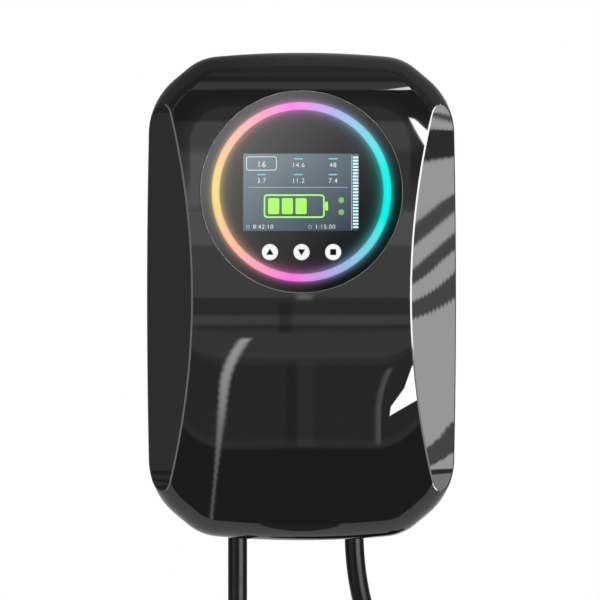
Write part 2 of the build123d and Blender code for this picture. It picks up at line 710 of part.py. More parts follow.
def make_wall_bracket():
    """Folded steel plate: four wall holes, two hooks and a tongue with an ear for the locking screw."""
    ear_bottom = skirt_floor() + LOCK_BOSS_FLOOR
    plate = fillet(Rectangle(BRACKET_WIDTH, BRACKET_HEIGHT).vertices(), BRACKET_CORNER)
    window = fillet(Rectangle(BRACKET_WINDOW_WIDTH, BRACKET_WINDOW_HEIGHT).vertices(), BRACKET_CORNER)
    tongue_top = -BRACKET_HEIGHT / 2 + BRACKET_CORNER
    tongue = Pos(0, (ear_bottom + tongue_top) / 2) * Rectangle(TONGUE_WIDTH, tongue_top - ear_bottom)
    sketch = plate + tongue - window
    for sx in (-1, 1):
        for sz in (-1, 1):
            place = Pos(sx * BRACKET_HOLE_SPACING_X / 2, sz * BRACKET_HOLE_SPACING_Z / 2)
            sketch -= place * Circle(BRACKET_HOLE_RADIUS)
    bracket = slab(sketch, 0, BRACKET_THICKNESS)
    ear = block(TONGUE_WIDTH, EAR_THICKNESS, 0, ear_bottom + EAR_THICKNESS / 2, 0, EAR_DEPTH)
    ear_top = ear_bottom + EAR_THICKNESS
    thread = LOCK_SCREW_RADIUS + THREAD_CLEARANCE
    bracket += ear - upright(0, LOCK_DEPTH, thread, ear_bottom - OVERRUN, ear_top + OVERRUN)
    lip_back = FLOOR_DEPTH + HOOK_GAP
    lip_front = lip_back + BRACKET_THICKNESS
    for side in (-1, 1):
        x = side * HOOK_OFFSET
        shelf_z = HOOK_RISE - BRACKET_THICKNESS / 2
        bracket += block(HOOK_WIDTH, BRACKET_THICKNESS, x, shelf_z, 0, lip_front)
        lip_height = BRACKET_THICKNESS + HOOK_LIP
        lip_z = HOOK_RISE + (HOOK_LIP - BRACKET_THICKNESS) / 2
        bracket += block(HOOK_WIDTH, lip_height, x, lip_z, lip_back, lip_front)
    return bracket


def make_cover_gasket():
    band = ring_sketch(GROOVE_INSET + GASKET_CLEARANCE, GROOVE_WIDTH - 2 * GASKET_CLEARANCE)
    return slab(band, PARTING_DEPTH - GROOVE_DEPTH, PARTING_DEPTH)


def make_cover_screws():
    head_seat = PARTING_DEPTH + COVER_SCREW_GRIP - COVER_SCREW_LENGTH
    return [
        screw(
            facing_front(x, z, head_seat), COVER_SCREW_RADIUS, COVER_SCREW_LENGTH,
            COVER_SCREW_HEAD_RADIUS, COVER_SCREW_HEAD_HEIGHT,
        )
        for x, z in cover_screw_places()
    ]


def button_places():
    return [(x, BUTTON_RISE) for x in BUTTON_OFFSETS.values()]


def make_display_glass():
    glass = rod(0, DISC_HEIGHT, DISC_RADIUS, GLASS_BACK, GLASS_FRONT)
    glass = chamfer(glass.edges().group_by(Axis.Y)[0], GLASS_EDGE_CHAMFER)
    for x, z in button_places():
        glass -= rod(x, z, BUTTON_RADIUS + BUTTON_HOLE_GAP, GLASS_BACK - OVERRUN, GLASS_FRONT + OVERRUN)
    return glass


def make_lens_gasket():
    outer = WELL_HOLE_RADIUS + LENS_GASKET_WIDTH
    ring = rod(0, DISC_HEIGHT, outer, WELL_FLOOR, GLASS_BACK)
    return ring - rod(0, DISC_HEIGHT, WELL_HOLE_RADIUS, WELL_FLOOR - OVERRUN, GLASS_BACK + OVERRUN)


def carrier_screw_circle():
    """The carrier's screws stand in the middle of the part of its flange that lies on the ledge."""
    return WELL_HOLE_RADIUS + (CARRIER_FLANGE_WIDTH - CARRIER_GAP) / 2


def carrier_screw_places():
    step = 360 / CARRIER_SCREW_COUNT
    angles = [step * (number + 1 / 2) for number in range(CARRIER_SCREW_COUNT)]
    offsets = [polar(carrier_screw_circle(), angle) for angle in angles]
    return [(x, DISC_HEIGHT + z) for x, z in offsets]


def carrier_screw_tip():
    return CARRIER_FLANGE_BACK + SMALL_SCREW_LENGTH


def post_places():
    offsets = [polar(POST_CIRCLE_RADIUS, angle) for angle in POST_ANGLES]
    return [(x, DISC_HEIGHT + z) for x, z in offsets]


def led_places():
    """Centre and turn of each light on the ring."""
    step = 360 / RING_LED_COUNT
    angles = [step * (number + 1 / 2) for number in range(RING_LED_COUNT)]
    return [(*polar(RING_MIDDLE_RADIUS, angle), angle) for angle in angles]


def lcd_outline(grow):
    """The display frame's outline in the front view, grown on every side."""
    width = PANEL_WIDTH + 2 * (PANEL_CLEARANCE + LCD_FRAME_WALL + grow)
    height = PANEL_HEIGHT + 2 * (PANEL_CLEARANCE + LCD_FRAME_WALL + grow)
    return Pos(0, LCD_RISE) * fillet(Rectangle(width, height).vertices(), LCD_FRAME_CORNER + grow)


def make_display_carrier():
    """Moulded plate behind the glass: light channel, display window, button bores and board posts."""
    body_radius = WELL_HOLE_RADIUS - CARRIER_GAP
    carrier = rod(0, DISC_HEIGHT, body_radius, CARRIER_BACK, CARRIER_FRONT)
    carrier += rod(0, DISC_HEIGHT, body_radius + CARRIER_FLANGE_WIDTH, CARRIER_FLANGE_BACK, LEDGE_BACK)
    for x, z in post_places():
        carrier += rod(x, z, POST_RADIUS, DISPLAY_BOARD_FRONT, CARRIER_FRONT - OVERRUN)
    channel = Circle(RING_OUTER_RADIUS + RING_CLEARANCE) - Circle(RING_INNER_RADIUS - RING_CLEARANCE)
    carrier -= slab(Pos(0, DISC_HEIGHT) * channel, CARRIER_FRONT - RING_THICKNESS, CARRIER_FRONT + OVERRUN)
    for x, z, _ in led_places():
        carrier -= rod(x, DISC_HEIGHT + z, LED_WINDOW_RADIUS, CARRIER_BACK - OVERRUN, CARRIER_FRONT - OVERRUN)
    carrier -= slab(lcd_outline(LCD_CLEARANCE), CARRIER_BACK - OVERRUN, CARRIER_FRONT + OVERRUN)
    pocket_floor = button_flange_back() - BUTTON_TRAVEL - BUTTON_FLANGE_GAP
    for x, z in button_places():
        carrier -= rod(x, z, BUTTON_FLANGE_RADIUS + BUTTON_HOLE_GAP, pocket_floor, CARRIER_FRONT + OVERRUN)
        carrier -= rod(x, z, BUTTON_STEM_RADIUS + BUTTON_FIT, CARRIER_BACK - OVERRUN, CARRIER_FRONT)
    for x, z in carrier_screw_places():
        hole = SMALL_SCREW_RADIUS + SCREW_CLEARANCE
        carrier -= rod(x, z, hole, CARRIER_FLANGE_BACK - OVERRUN, LEDGE_BACK + OVERRUN)
    for x, z in post_places():
        tip = DISPLAY_BOARD_BACK + SMALL_SCREW_LENGTH
        carrier -= rod(x, z, SMALL_SCREW_RADIUS + THREAD_CLEARANCE, DISPLAY_BOARD_FRONT - OVERRUN, tip)
    return carrier


def small_screws(places, depth):
    return [
        screw(
            facing_front(x, z, depth), SMALL_SCREW_RADIUS, SMALL_SCREW_LENGTH,
            SMALL_SCREW_HEAD_RADIUS, SMALL_SCREW_HEAD_HEIGHT,
        )
        for x, z in places
    ]


def make_light_guide():
    ring = Circle(RING_OUTER_RADIUS) - Circle(RING_INNER_RADIUS)
    return slab(Pos(0, DISC_HEIGHT) * ring, CARRIER_FRONT - RING_THICKNESS, CARRIER_FRONT)


def make_lcd_panel():
    return block(PANEL_WIDTH, PANEL_HEIGHT, 0, LCD_RISE, CARRIER_FRONT - PANEL_THICKNESS, CARRIER_FRONT)


def make_lcd_frame():
    """Steel tray round the panel, with its floor behind it."""
    frame = slab(lcd_outline(0), CARRIER_FRONT - LCD_FRAME_DEPTH, CARRIER_FRONT)
    room_width = PANEL_WIDTH + 2 * PANEL_CLEARANCE
    room_height = PANEL_HEIGHT + 2 * PANEL_CLEARANCE
    floor = CARRIER_FRONT - PANEL_THICKNESS
    return frame - block(room_width, room_height, 0, LCD_RISE, floor, CARRIER_FRONT + OVERRUN)


def make_display_board():
    board = rod(0, DISC_HEIGHT, DISPLAY_BOARD_RADIUS, DISPLAY_BOARD_BACK, DISPLAY_BOARD_FRONT)
    for x, z in post_places():
        hole = SMALL_SCREW_RADIUS + SCREW_CLEARANCE
        board -= rod(x, z, hole, DISPLAY_BOARD_BACK - OVERRUN, DISPLAY_BOARD_FRONT + OVERRUN)
    return board


def make_ring_leds():
    leds = []
    for x, z, angle in led_places():
        sketch = Pos(x, DISC_HEIGHT + z) * Rot(0, 0, angle) * Rectangle(LED_WIDTH, LED_LENGTH)
        leds.append(slab(sketch, DISPLAY_BOARD_FRONT, DISPLAY_BOARD_FRONT + LED_HEIGHT))
    return leds


def button_flange_back():
    return CARRIER_FRONT - BUTTON_FLANGE_THICKNESS


def plunger_front():
    return DISPLAY_BOARD_FRONT + SWITCH_HEIGHT + PLUNGER_PROUD


def make_button(x):
    """Cap, retaining flange and stem in one moulding."""
    front = GLASS_FRONT + BUTTON_PROUD
    cap = rod(x, BUTTON_RISE, BUTTON_RADIUS, CARRIER_FRONT, front)
    cap = fillet(cap.edges().group_by(Axis.Y)[0], BUTTON_EDGE_RADIUS)
    cap += rod(x, BUTTON_RISE, BUTTON_FLANGE_RADIUS, button_flange_back(), CARRIER_FRONT)
    return cap + rod(x, BUTTON_RISE, BUTTON_STEM_RADIUS, plunger_front(), CARRIER_FRONT)


def make_plunger(x):
    return rod(x, BUTTON_RISE, PLUNGER_RADIUS, plunger_front() - PLUNGER_LENGTH, plunger_front())


def make_tact_switches():
    switches = []
    top = DISPLAY_BOARD_FRONT + SWITCH_HEIGHT
    for x, z in button_places():
        body = block(SWITCH_SIZE, SWITCH_SIZE, x, z, DISPLAY_BOARD_FRONT, top)
        bottom = plunger_front() - PLUNGER_LENGTH - BUTTON_TRAVEL - BUTTON_FLANGE_GAP
        switches.append(body - rod(x, z, PLUNGER_RADIUS + PLUNGER_FIT, bottom, top + OVERRUN))
    return switches


def board_screw_places():
    x = MAIN_BOARD_WIDTH / 2 - BOARD_HOLE_INSET
    z = MAIN_BOARD_HEIGHT / 2 - BOARD_HOLE_INSET
    return [(sx * x, MAIN_BOARD_RISE + sz * z) for sx in (-1, 1) for sz in (-1, 0, 1)]


def make_main_board():
    sketch = fillet(Rectangle(MAIN_BOARD_WIDTH, MAIN_BOARD_HEIGHT).vertices(), MAIN_BOARD_CORNER)
    sketch = Pos(0, MAIN_BOARD_RISE) * sketch
    for x, z in board_screw_places():
        sketch -= Pos(x, z) * Circle(BOARD_SCREW_RADIUS + SCREW_CLEARANCE)
    return slab(sketch, MAIN_BOARD_BACK, MAIN_BOARD_FRONT)


def make_board_screws():
    return [
        screw(
            facing_wall(x, z, MAIN_BOARD_FRONT), BOARD_SCREW_RADIUS, BOARD_SCREW_LENGTH,
            BOARD_SCREW_HEAD_RADIUS, BOARD_SCREW_HEAD_HEIGHT,
        )
        for x, z in board_screw_places()
    ]


def make_relays():
    relays = []
    for side in (-1, 1):
        front = MAIN_BOARD_FRONT + RELAY_DEPTH
        relay = block(RELAY_WIDTH, RELAY_HEIGHT, side * RELAY_OFFSET, RELAY_RISE, MAIN_BOARD_FRONT, front)
        relays.append(fillet(relay.edges().group_by(Axis.Y)[0], RELAY_EDGE_RADIUS))
    return relays


def make_transformer_core():
    """Laminated core: a frame with a middle limb, round the winding."""
    back = MAIN_BOARD_FRONT + CORE_LIFT
    front = back + CORE_DEPTH
    core = block(CORE_WIDTH, CORE_HEIGHT, TRANSFORMER_OFFSET, TRANSFORMER_RISE, back, front)
    window_width = (CORE_WIDTH - 4 * CORE_LIMB) / 2
    window_height = CORE_HEIGHT - 2 * CORE_LIMB
    for side in (-1, 1):
        x = TRANSFORMER_OFFSET + side * (CORE_LIMB + window_width / 2)
        core -= block(window_width, window_height, x, TRANSFORMER_RISE, back - OVERRUN, front + OVERRUN)
    return core


def make_transformer_winding():
    """Wound bobbin that fills the core's windows and stands on the board."""
    window_width = (CORE_WIDTH - 4 * CORE_LIMB) / 2
    width = 2 * (CORE_LIMB + window_width) - 2 * THREAD_CLEARANCE
    height = CORE_HEIGHT - 2 * CORE_LIMB - 2 * THREAD_CLEARANCE
    front = MAIN_BOARD_FRONT + BOBBIN_DEPTH
    back = MAIN_BOARD_FRONT
    winding = block(width, height, TRANSFORMER_OFFSET, TRANSFORMER_RISE, back, front)
    limb_back = MAIN_BOARD_FRONT + CORE_LIFT - THREAD_CLEARANCE
    limb_front = MAIN_BOARD_FRONT + CORE_LIFT + CORE_DEPTH + THREAD_CLEARANCE
    limb_width = 2 * (CORE_LIMB + THREAD_CLEARANCE)
    limb = block(limb_width, CORE_HEIGHT, TRANSFORMER_OFFSET, TRANSFORMER_RISE, limb_back, limb_front)
    return winding - limb


def make_capacitors():
    cans = []
    for x, z in CAPACITOR_PLACES:
        can = rod(x, z, CAPACITOR_RADIUS, MAIN_BOARD_FRONT, MAIN_BOARD_FRONT + CAPACITOR_HEIGHT)
        cans.append(fillet(can.edges().group_by(Axis.Y)[0], CAPACITOR_EDGE_RADIUS))
    return cans


def fuse_bar(radius, start, end):
    """A round bar along X on the fuse's axis."""
    origin = (FUSE_OFFSET + start, -(MAIN_BOARD_FRONT + FUSE_LIFT), FUSE_RISE)
    section = Plane(origin=origin, x_dir=(0, 1, 0), z_dir=(1, 0, 0)) * Circle(radius)
    return extrude(section, amount=end - start)


def make_fuse():
    return fuse_bar(FUSE_RADIUS, -FUSE_LENGTH / 2, FUSE_LENGTH / 2)


def make_fuse_clips():
    """Spring clips that stand on the board and go round the fuse's ends."""
    clips = []
    outer = FUSE_RADIUS + CLIP_WALL
    for side in (-1, 1):
        start = side * FUSE_LENGTH / 2 - (CLIP_WIDTH if side > 0 else 0)
        middle = FUSE_OFFSET + start + CLIP_WIDTH / 2
        clip = block(CLIP_WIDTH, 2 * outer, middle, FUSE_RISE, MAIN_BOARD_FRONT, MAIN_BOARD_FRONT + FUSE_LIFT)
        clip += fuse_bar(outer, start, start + CLIP_WIDTH)
        clips.append(clip - fuse_bar(FUSE_RADIUS, start - OVERRUN, start + CLIP_WIDTH + OVERRUN))
    return clips


def make_buzzer():
    top = MAIN_BOARD_FRONT + BUZZER_HEIGHT
    buzzer = rod(BUZZER_OFFSET, BUZZER_RISE, BUZZER_RADIUS, MAIN_BOARD_FRONT, top)
    return buzzer - rod(BUZZER_OFFSET, BUZZER_RISE, BUZZER_PORT_RADIUS, top - OVERRUN, top + OVERRUN)


def make_radio_module():
    """Radio board with its aerial strip left bare and a screening can on the rest."""
    base_top = MAIN_BOARD_FRONT + RADIO_BASE
    module = block(RADIO_WIDTH, RADIO_HEIGHT, RADIO_OFFSET, RADIO_RISE, MAIN_BOARD_FRONT, base_top)
    can_height = RADIO_HEIGHT - RADIO_AERIAL - RADIO_CAN_MARGIN
    can_z = RADIO_RISE - RADIO_HEIGHT / 2 + RADIO_CAN_MARGIN + can_height / 2
    can_width = RADIO_WIDTH - 2 * RADIO_CAN_MARGIN
    return module + block(can_width, can_height, RADIO_OFFSET, can_z, base_top, base_top + RADIO_CAN_HEIGHT)


def make_control_chip():
    top = MAIN_BOARD_FRONT + CHIP_HEIGHT
    return block(CHIP_SIZE, CHIP_SIZE, CHIP_OFFSET, CHIP_RISE, MAIN_BOARD_FRONT, top)


def pole_places(centre, poles):
    return [centre + (number - (poles - 1) / 2) * POLE_PITCH for number in range(poles)]


def make_terminal_block(centre, poles):
    """Moulded block with a wire entry below and a sunk clamping screw in front of each pole."""
    back, front = MAIN_BOARD_FRONT, MAIN_BOARD_FRONT + BLOCK_DEPTH
    body = block(poles * POLE_PITCH + BLOCK_END, BLOCK_HEIGHT, centre, BLOCK_RISE, back, front)
    body = fillet(body.edges().group_by(Axis.Y)[0], BLOCK_EDGE_RADIUS)
    bottom = BLOCK_RISE - BLOCK_HEIGHT / 2
    for x in pole_places(centre, poles):
        body -= upright(x, back + ENTRY_LIFT, ENTRY_RADIUS, bottom - OVERRUN, bottom + ENTRY_DEPTH)
        sink = POLE_SCREW_SINK + POLE_SCREW_HEIGHT
        well_radius = POLE_SCREW_RADIUS + POLE_SCREW_GAP
        body -= rod(x, BLOCK_RISE + POLE_SCREW_DROP, well_radius, front - sink, front + OVERRUN)
    return body


def make_terminal_screws():
    screws = []
    front = MAIN_BOARD_FRONT + BLOCK_DEPTH - POLE_SCREW_SINK
    z = BLOCK_RISE + POLE_SCREW_DROP
    for x in pole_places(SUPPLY_OFFSET, SUPPLY_POLES) + pole_places(CHARGING_OFFSET, OUTPUT_POLES):
        head = rod(x, z, POLE_SCREW_RADIUS, front - POLE_SCREW_HEIGHT, front)
        slot = block(SLOT_WIDTH, 3 * POLE_SCREW_RADIUS, x, z, front - SLOT_DEPTH, front + OVERRUN)
        screws.append(head - slot)
    return screws


def sensor_x():
    """The sensor's axis stands midway between the two live poles of the output."""
    live = pole_places(CHARGING_OFFSET, OUTPUT_POLES)[:2]
    return sum(live) / 2


def make_current_sensor():
    bottom, top = SENSOR_RISE - SENSOR_HEIGHT / 2, SENSOR_RISE + SENSOR_HEIGHT / 2
    depth = MAIN_BOARD_FRONT + SENSOR_OUTER_RADIUS
    ring = upright(sensor_x(), depth, SENSOR_OUTER_RADIUS, bottom, top)
    ring = fillet(ring.edges(), SENSOR_EDGE_RADIUS)
    foot_height = SENSOR_HEIGHT - 2 * SENSOR_EDGE_RADIUS
    ring += block(SENSOR_OUTER_RADIUS, foot_height, sensor_x(), SENSOR_RISE, MAIN_BOARD_FRONT, depth)
    return ring - upright(sensor_x(), depth, SENSOR_INNER_RADIUS, bottom - OVERRUN, top + OVERRUN)


def wire(points, radius, bend):
    """A round wire through points, with a bend of one radius at each inner point."""
    path = FilletPolyline(*points, radius=bend)
    start = Plane(origin=path @ 0, z_dir=path % 0)
    return sweep(start * Circle(radius), path=path)


def core_points(x_start, depth_start, x_end, end_depth):
    """Route of one core from the cut sheath up to its pole."""
    top = BLOCK_RISE - BLOCK_HEIGHT / 2 + ENTRY_DEPTH - FERRULE_LENGTH
    start_z = SHEATH_END
    rise = (BLOCK_RISE - BLOCK_HEIGHT / 2 - start_z) / 4
    return [
        (x_start, -depth_start, start_z),
        (x_start, -depth_start, start_z + rise / 2),
        (x_end, -end_depth, start_z + rise * 2),
        (x_end, -end_depth, top),
    ]


def make_cores(centre, poles, radii):
    """Cores of one cable, spread from the cut sheath to the poles of its block."""
    cores = []
    end_depth = MAIN_BOARD_FRONT + ENTRY_LIFT
    for number, x in enumerate(pole_places(centre, poles)):
        angle = 180 - 180 * number / (poles - 1)
        dx, dd = polar(CORE_CIRCLE_RADIUS, angle)
        points = core_points(centre + dx, CABLE_DEPTH + dd - CORE_CIRCLE_RADIUS / 2, x, end_depth)
        cores.append(wire(points, radii[number], CORE_LEAD_IN / 2))
    return cores


def make_ferrules():
    """Ferrules on the cores' ends, inside the blocks."""
    ferrules = []
    depth = MAIN_BOARD_FRONT + ENTRY_LIFT
    top = BLOCK_RISE - BLOCK_HEIGHT / 2 + ENTRY_DEPTH
    for x in pole_places(SUPPLY_OFFSET, SUPPLY_POLES) + pole_places(CHARGING_OFFSET, OUTPUT_POLES):
        ferrules.append(upright(x, depth, FERRULE_RADIUS, top - FERRULE_LENGTH, top))
    return ferrules


def make_ribbon_cable():
    """Flat cable that steps from the display board's header down to the main board's header."""
    start = DISPLAY_BOARD_BACK - HEADER_DEPTH - RIBBON_THICKNESS / 2
    end = MAIN_BOARD_FRONT + HEADER_DEPTH + RIBBON_THICKNESS / 2
    points = [
        (-start, RIBBON_RISE),
        (-start + RIBBON_RUN, RIBBON_RISE),
        (-end - RIBBON_RUN, RIBBON_BOARD_RISE),
        (-end, RIBBON_BOARD_RISE),
    ]
    line = FilletPolyline(*points, radius=RIBBON_BEND)
    strip = offset(line, amount=RIBBON_THICKNESS / 2, side=Side.BOTH)
    side_view = Plane(origin=(RIBBON_OFFSET - RIBBON_WIDTH / 2, 0, 0), x_dir=(0, 1, 0), z_dir=(1, 0, 0))
    return extrude(side_view * make_face(strip), amount=RIBBON_WIDTH)


def make_headers():
    """The ribbon's two headers: each back depth goes with the height it stands at."""
    seats = ((DISPLAY_BOARD_BACK - HEADER_DEPTH, RIBBON_RISE), (MAIN_BOARD_FRONT, RIBBON_BOARD_RISE))
    width, height = HEADER_WIDTH, HEADER_HEIGHT
    return [block(width, height, RIBBON_OFFSET, z, back, back + HEADER_DEPTH) for back, z in seats]


def hexagon(flats):
    """A hexagon with two of its flats facing front and back."""
    return RegularPolygon(flats / 2, 6, major_radius=False)


def both_cables(make):
    return [make(x) for x in (SUPPLY_OFFSET, CHARGING_OFFSET)]


def gland_level(offset_from_ceiling):
    return BAY_CEILING + offset_from_ceiling


def make_gland_body(x):
    """Gland body: thread through the ceiling of the bay, hexagon below it, and the neck for the dome nut."""
    bore = CABLE_RADIUS + GLAND_BORE_GAP
    flange_top = -GLAND_WASHER_THICKNESS
    flange_bottom = flange_top - GLAND_FLANGE_HEIGHT
    neck_bottom = flange_bottom - GLAND_NECK_HEIGHT
    thread_end = gland_level(GLAND_THREAD_LENGTH)
    body = upright(x, CABLE_DEPTH, GLAND_THREAD_RADIUS, gland_level(flange_top), thread_end)
    flange = Plane((x, -CABLE_DEPTH, gland_level(flange_bottom))) * hexagon(GLAND_FLATS)
    body += extrude(flange, amount=GLAND_FLANGE_HEIGHT)
    body += upright(x, CABLE_DEPTH, GLAND_NECK_RADIUS, gland_level(neck_bottom), gland_level(flange_bottom))
    return body - upright(x, CABLE_DEPTH, bore, gland_level(neck_bottom) - OVERRUN, thread_end + OVERRUN)


def make_gland_washer(x):
    bottom, top = gland_level(-GLAND_WASHER_THICKNESS), gland_level(0)
    washer = upright(x, CABLE_DEPTH, GLAND_WASHER_RADIUS, bottom, top)
    hole = GLAND_THREAD_RADIUS + THREAD_CLEARANCE
    return washer - upright(x, CABLE_DEPTH, hole, bottom - OVERRUN, top + OVERRUN)


def make_lock_nut(x):
    bottom = gland_level(BAY_WALL)
    nut = extrude(Plane((x, -CABLE_DEPTH, bottom)) * hexagon(GLAND_FLATS), amount=LOCK_NUT_HEIGHT)
    hole = GLAND_THREAD_RADIUS + THREAD_CLEARANCE
    return nut - upright(x, CABLE_DEPTH, hole, bottom - OVERRUN, bottom + LOCK_NUT_HEIGHT + OVERRUN)


def dome_top():
    return gland_level(-GLAND_WASHER_THICKNESS - GLAND_FLANGE_HEIGHT - DOME_GAP)


def neck_end():
    return gland_level(-GLAND_WASHER_THICKNESS - GLAND_FLANGE_HEIGHT - GLAND_NECK_HEIGHT)


def make_dome_nut(x):
    """Dome nut: a hexagon, then a shoulder that tapers to the cable's mouth."""
    top = dome_top()
    shoulder = top - DOME_HEX_HEIGHT
    nut = extrude(Plane((x, -CABLE_DEPTH, shoulder)) * hexagon(GLAND_FLATS), amount=DOME_HEX_HEIGHT)
    mouth = Plane((x, -CABLE_DEPTH, top - DOME_HEIGHT))
    taper_height = DOME_HEIGHT - DOME_HEX_HEIGHT
    nut += loft([mouth * Circle(DOME_MOUTH_RADIUS), mouth.offset(taper_height) * Circle(DOME_TOP_RADIUS)])
    lip_top = top - DOME_HEIGHT + DOME_LIP
    nut -= upright(x, CABLE_DEPTH, GLAND_NECK_RADIUS + THREAD_CLEARANCE, lip_top + DOME_LIP, top + OVERRUN)
    nut -= upright(x, CABLE_DEPTH, GLAND_SEAL_RADIUS + THREAD_CLEARANCE, lip_top, top)
    bore = CABLE_RADIUS + GLAND_BORE_GAP
    return nut - upright(x, CABLE_DEPTH, bore, mouth.origin.Z - OVERRUN, lip_top + OVERRUN)


def make_gland_seal(x):
    bottom = dome_top() - DOME_HEIGHT + DOME_LIP
    seal = upright(x, CABLE_DEPTH, GLAND_SEAL_RADIUS, bottom, neck_end())
    return seal - upright(x, CABLE_DEPTH, CABLE_RADIUS, bottom - OVERRUN, neck_end() + OVERRUN)


def cord_radii(points):
    """Arc radius at each inner point of a cord's route: a share of the shorter run, set by half the turn."""
    radii = []
    for before, here, after in zip(points, points[1:], points[2:]):
        into, out = Vector(*here) - Vector(*before), Vector(*after) - Vector(*here)
        half_turn = math.radians(into.get_angle(out)) / 2
        radii.append(CORD_RADIUS_share * min(into.length, out.length) / math.tan(half_turn))
    return radii


def cord_tube(name, points):
    """A cord's tube along its route. The radii and the volume are printed for checking."""
    radii = cord_radii(points)
    path = FilletPolyline(*points, radius=radii)
    start = Plane(origin=path @ 0, z_dir=path % 0)
    tube = sweep(start * Circle(CABLE_RADIUS), path=path)
    ratio = tube.volume / (math.pi * CABLE_RADIUS**2 * path.length)
    print(name, "radii", [round(r, 1) for r in radii])
    print(name, "length", round(path.length, 1), "volume ratio", round(ratio, 4))
    return tube


def make_supply_lead():
    """Supply lead from its cut sheath inside the box down to its stripped end."""
    inner = upright(SUPPLY_OFFSET, CABLE_DEPTH, CABLE_RADIUS, SUPPLY_POINTS[0][2], SHEATH_END)
    return inner + cord_tube("supply_lead", SUPPLY_POINTS)


def make_charging_lead():
    """Charging lead from its cut sheath inside the box down to the coil."""
    inner = upright(CHARGING_OFFSET, CABLE_DEPTH, CABLE_RADIUS, LEAD_POINTS[0][2], SHEATH_END)
    return inner + cord_tube("charging_lead", LEAD_POINTS)


def coil_section(radial, axial, corner):
    """Section of the wound bundle, in the plane through the coil's axis."""
    return fillet(Rectangle(radial, axial).vertices(), corner)


def coil_axis():
    centre = (COIL_CENTRE_X, -CABLE_DEPTH, COIL_CENTRE_Z)
    return Axis(centre, (0, 1, 0))


def coil_section_plane():
    """Plane through the coil's axis at the right-hand side of the bundle, its X pointing outwards."""
    origin = (COIL_CENTRE_X + COIL_RADIUS, -CABLE_DEPTH, COIL_CENTRE_Z)
    return Plane(origin=origin, x_dir=(1, 0, 0), z_dir=(0, 0, 1))


def make_lead_coil():
    """The wound part of the charging lead, as one closed ring."""
    section = coil_section(COIL_SECTION_RADIAL, COIL_SECTION_AXIAL, COIL_SECTION_CORNER)
    return revolve(coil_section_plane() * section, axis=coil_axis())


def make_coil_ties():
    """Straps wrapped tightly round the bundle."""
    radial, axial = COIL_SECTION_RADIAL + 2 * TIE_THICKNESS, COIL_SECTION_AXIAL + 2 * TIE_THICKNESS
    outer = coil_section(radial, axial, COIL_SECTION_CORNER + TIE_THICKNESS)
    band = outer - coil_section(COIL_SECTION_RADIAL, COIL_SECTION_AXIAL, COIL_SECTION_CORNER)
    spread = math.degrees(TIE_WIDTH / COIL_RADIUS)
    tie = revolve(coil_section_plane() * band, axis=coil_axis(), revolution_arc=spread)
    return [tie.rotate(coil_axis(), -angle) for angle in TIE_ANGLES]


def tail_plane(points):
    """Plane at the end of a route, its normal along the last run."""
    last = Vector(*points[-1])
    return Plane(origin=last, z_dir=last - Vector(*points[-2]))


def make_tail_cores():
    """Stripped cores at the end of the supply lead."""
    return tail_rods(tail_plane(SUPPLY_POINTS), CORE_RADIUS, TAIL_CORE_LENGTH)


def make_tail_ferrules():
    return tail_rods(tail_plane(SUPPLY_POINTS).offset(TAIL_CORE_LENGTH), FERRULE_RADIUS, TAIL_FERRULE_LENGTH)


def tail_rods(start, radius, length):
    """One round bar for each core of the supply lead, evenly spaced about its middle line."""
    places = [polar(CORE_CIRCLE_RADIUS, 90 + 360 * number / SUPPLY_POLES) for number in range(SUPPLY_POLES)]
    return [extrude(start * Pos(x, y) * Circle(radius), amount=length) for x, y in places]


def connector_plane(distance):
    """Plane across the connector at a distance along its axis, which bends forwards inside the handle."""
    end = tail_plane(TAIL_POINTS)
    start = BOOT_LENGTH + HANDLE_LENGTH * BEND_START_share
    stop = BOOT_LENGTH + HANDLE_LENGTH * BEND_END_share
    forwards = end.z_dir.cross(Vector(1, 0, 0))
    plane = Plane(origin=end.origin, x_dir=forwards, z_dir=end.z_dir).offset(min(distance, start))
    if distance <= start:
        return plane
    share = min(1, (distance - start) / (stop - start))
    turn = math.radians(HANDLE_BEND * share)
    radius = (stop - start) / math.radians(HANDLE_BEND)
    along = plane.z_dir * math.cos(turn) + plane.x_dir * math.sin(turn)
    inwards = plane.x_dir * math.cos(turn) - plane.z_dir * math.sin(turn)
    origin = plane.origin + plane.x_dir * radius - inwards * radius
    return Plane(origin=origin, x_dir=inwards, z_dir=along).offset(max(0, distance - stop))


def nose_sketch(radius, flat):
    """Round nose with its top cut flat."""
    size = 2 * radius
    return Circle(radius) - Pos(flat + size / 2, 0) * Rectangle(size, size)


def nose_start():
    return BOOT_LENGTH + HANDLE_LENGTH


def make_connector_boot():
    """Tapered bend relief on the lead, with grooves that let it flex."""
    mouth_radius = CABLE_RADIUS + BOOT_WALL
    start, end = connector_plane(-mouth_radius), connector_plane(BOOT_LENGTH)
    boot = loft([start * Circle(mouth_radius), end * Circle(BOOT_ROOT_RADIUS)])
    slope = (BOOT_ROOT_RADIUS - mouth_radius) / (BOOT_LENGTH + mouth_radius)
    for number in range(int(BOOT_LENGTH / BOOT_GROOVE_PITCH) - 1):
        place = BOOT_GROOVE_PITCH * (number + 1)
        radius = mouth_radius + slope * (place + mouth_radius)
        groove = Circle(radius + OVERRUN) - Circle(radius - BOOT_GROOVE_DEPTH)
        boot -= extrude(connector_plane(place) * groove, amount=BOOT_GROOVE_WIDTH)
    return boot - extrude(start.offset(-OVERRUN) * Circle(CABLE_RADIUS), amount=mouth_radius + OVERRUN)


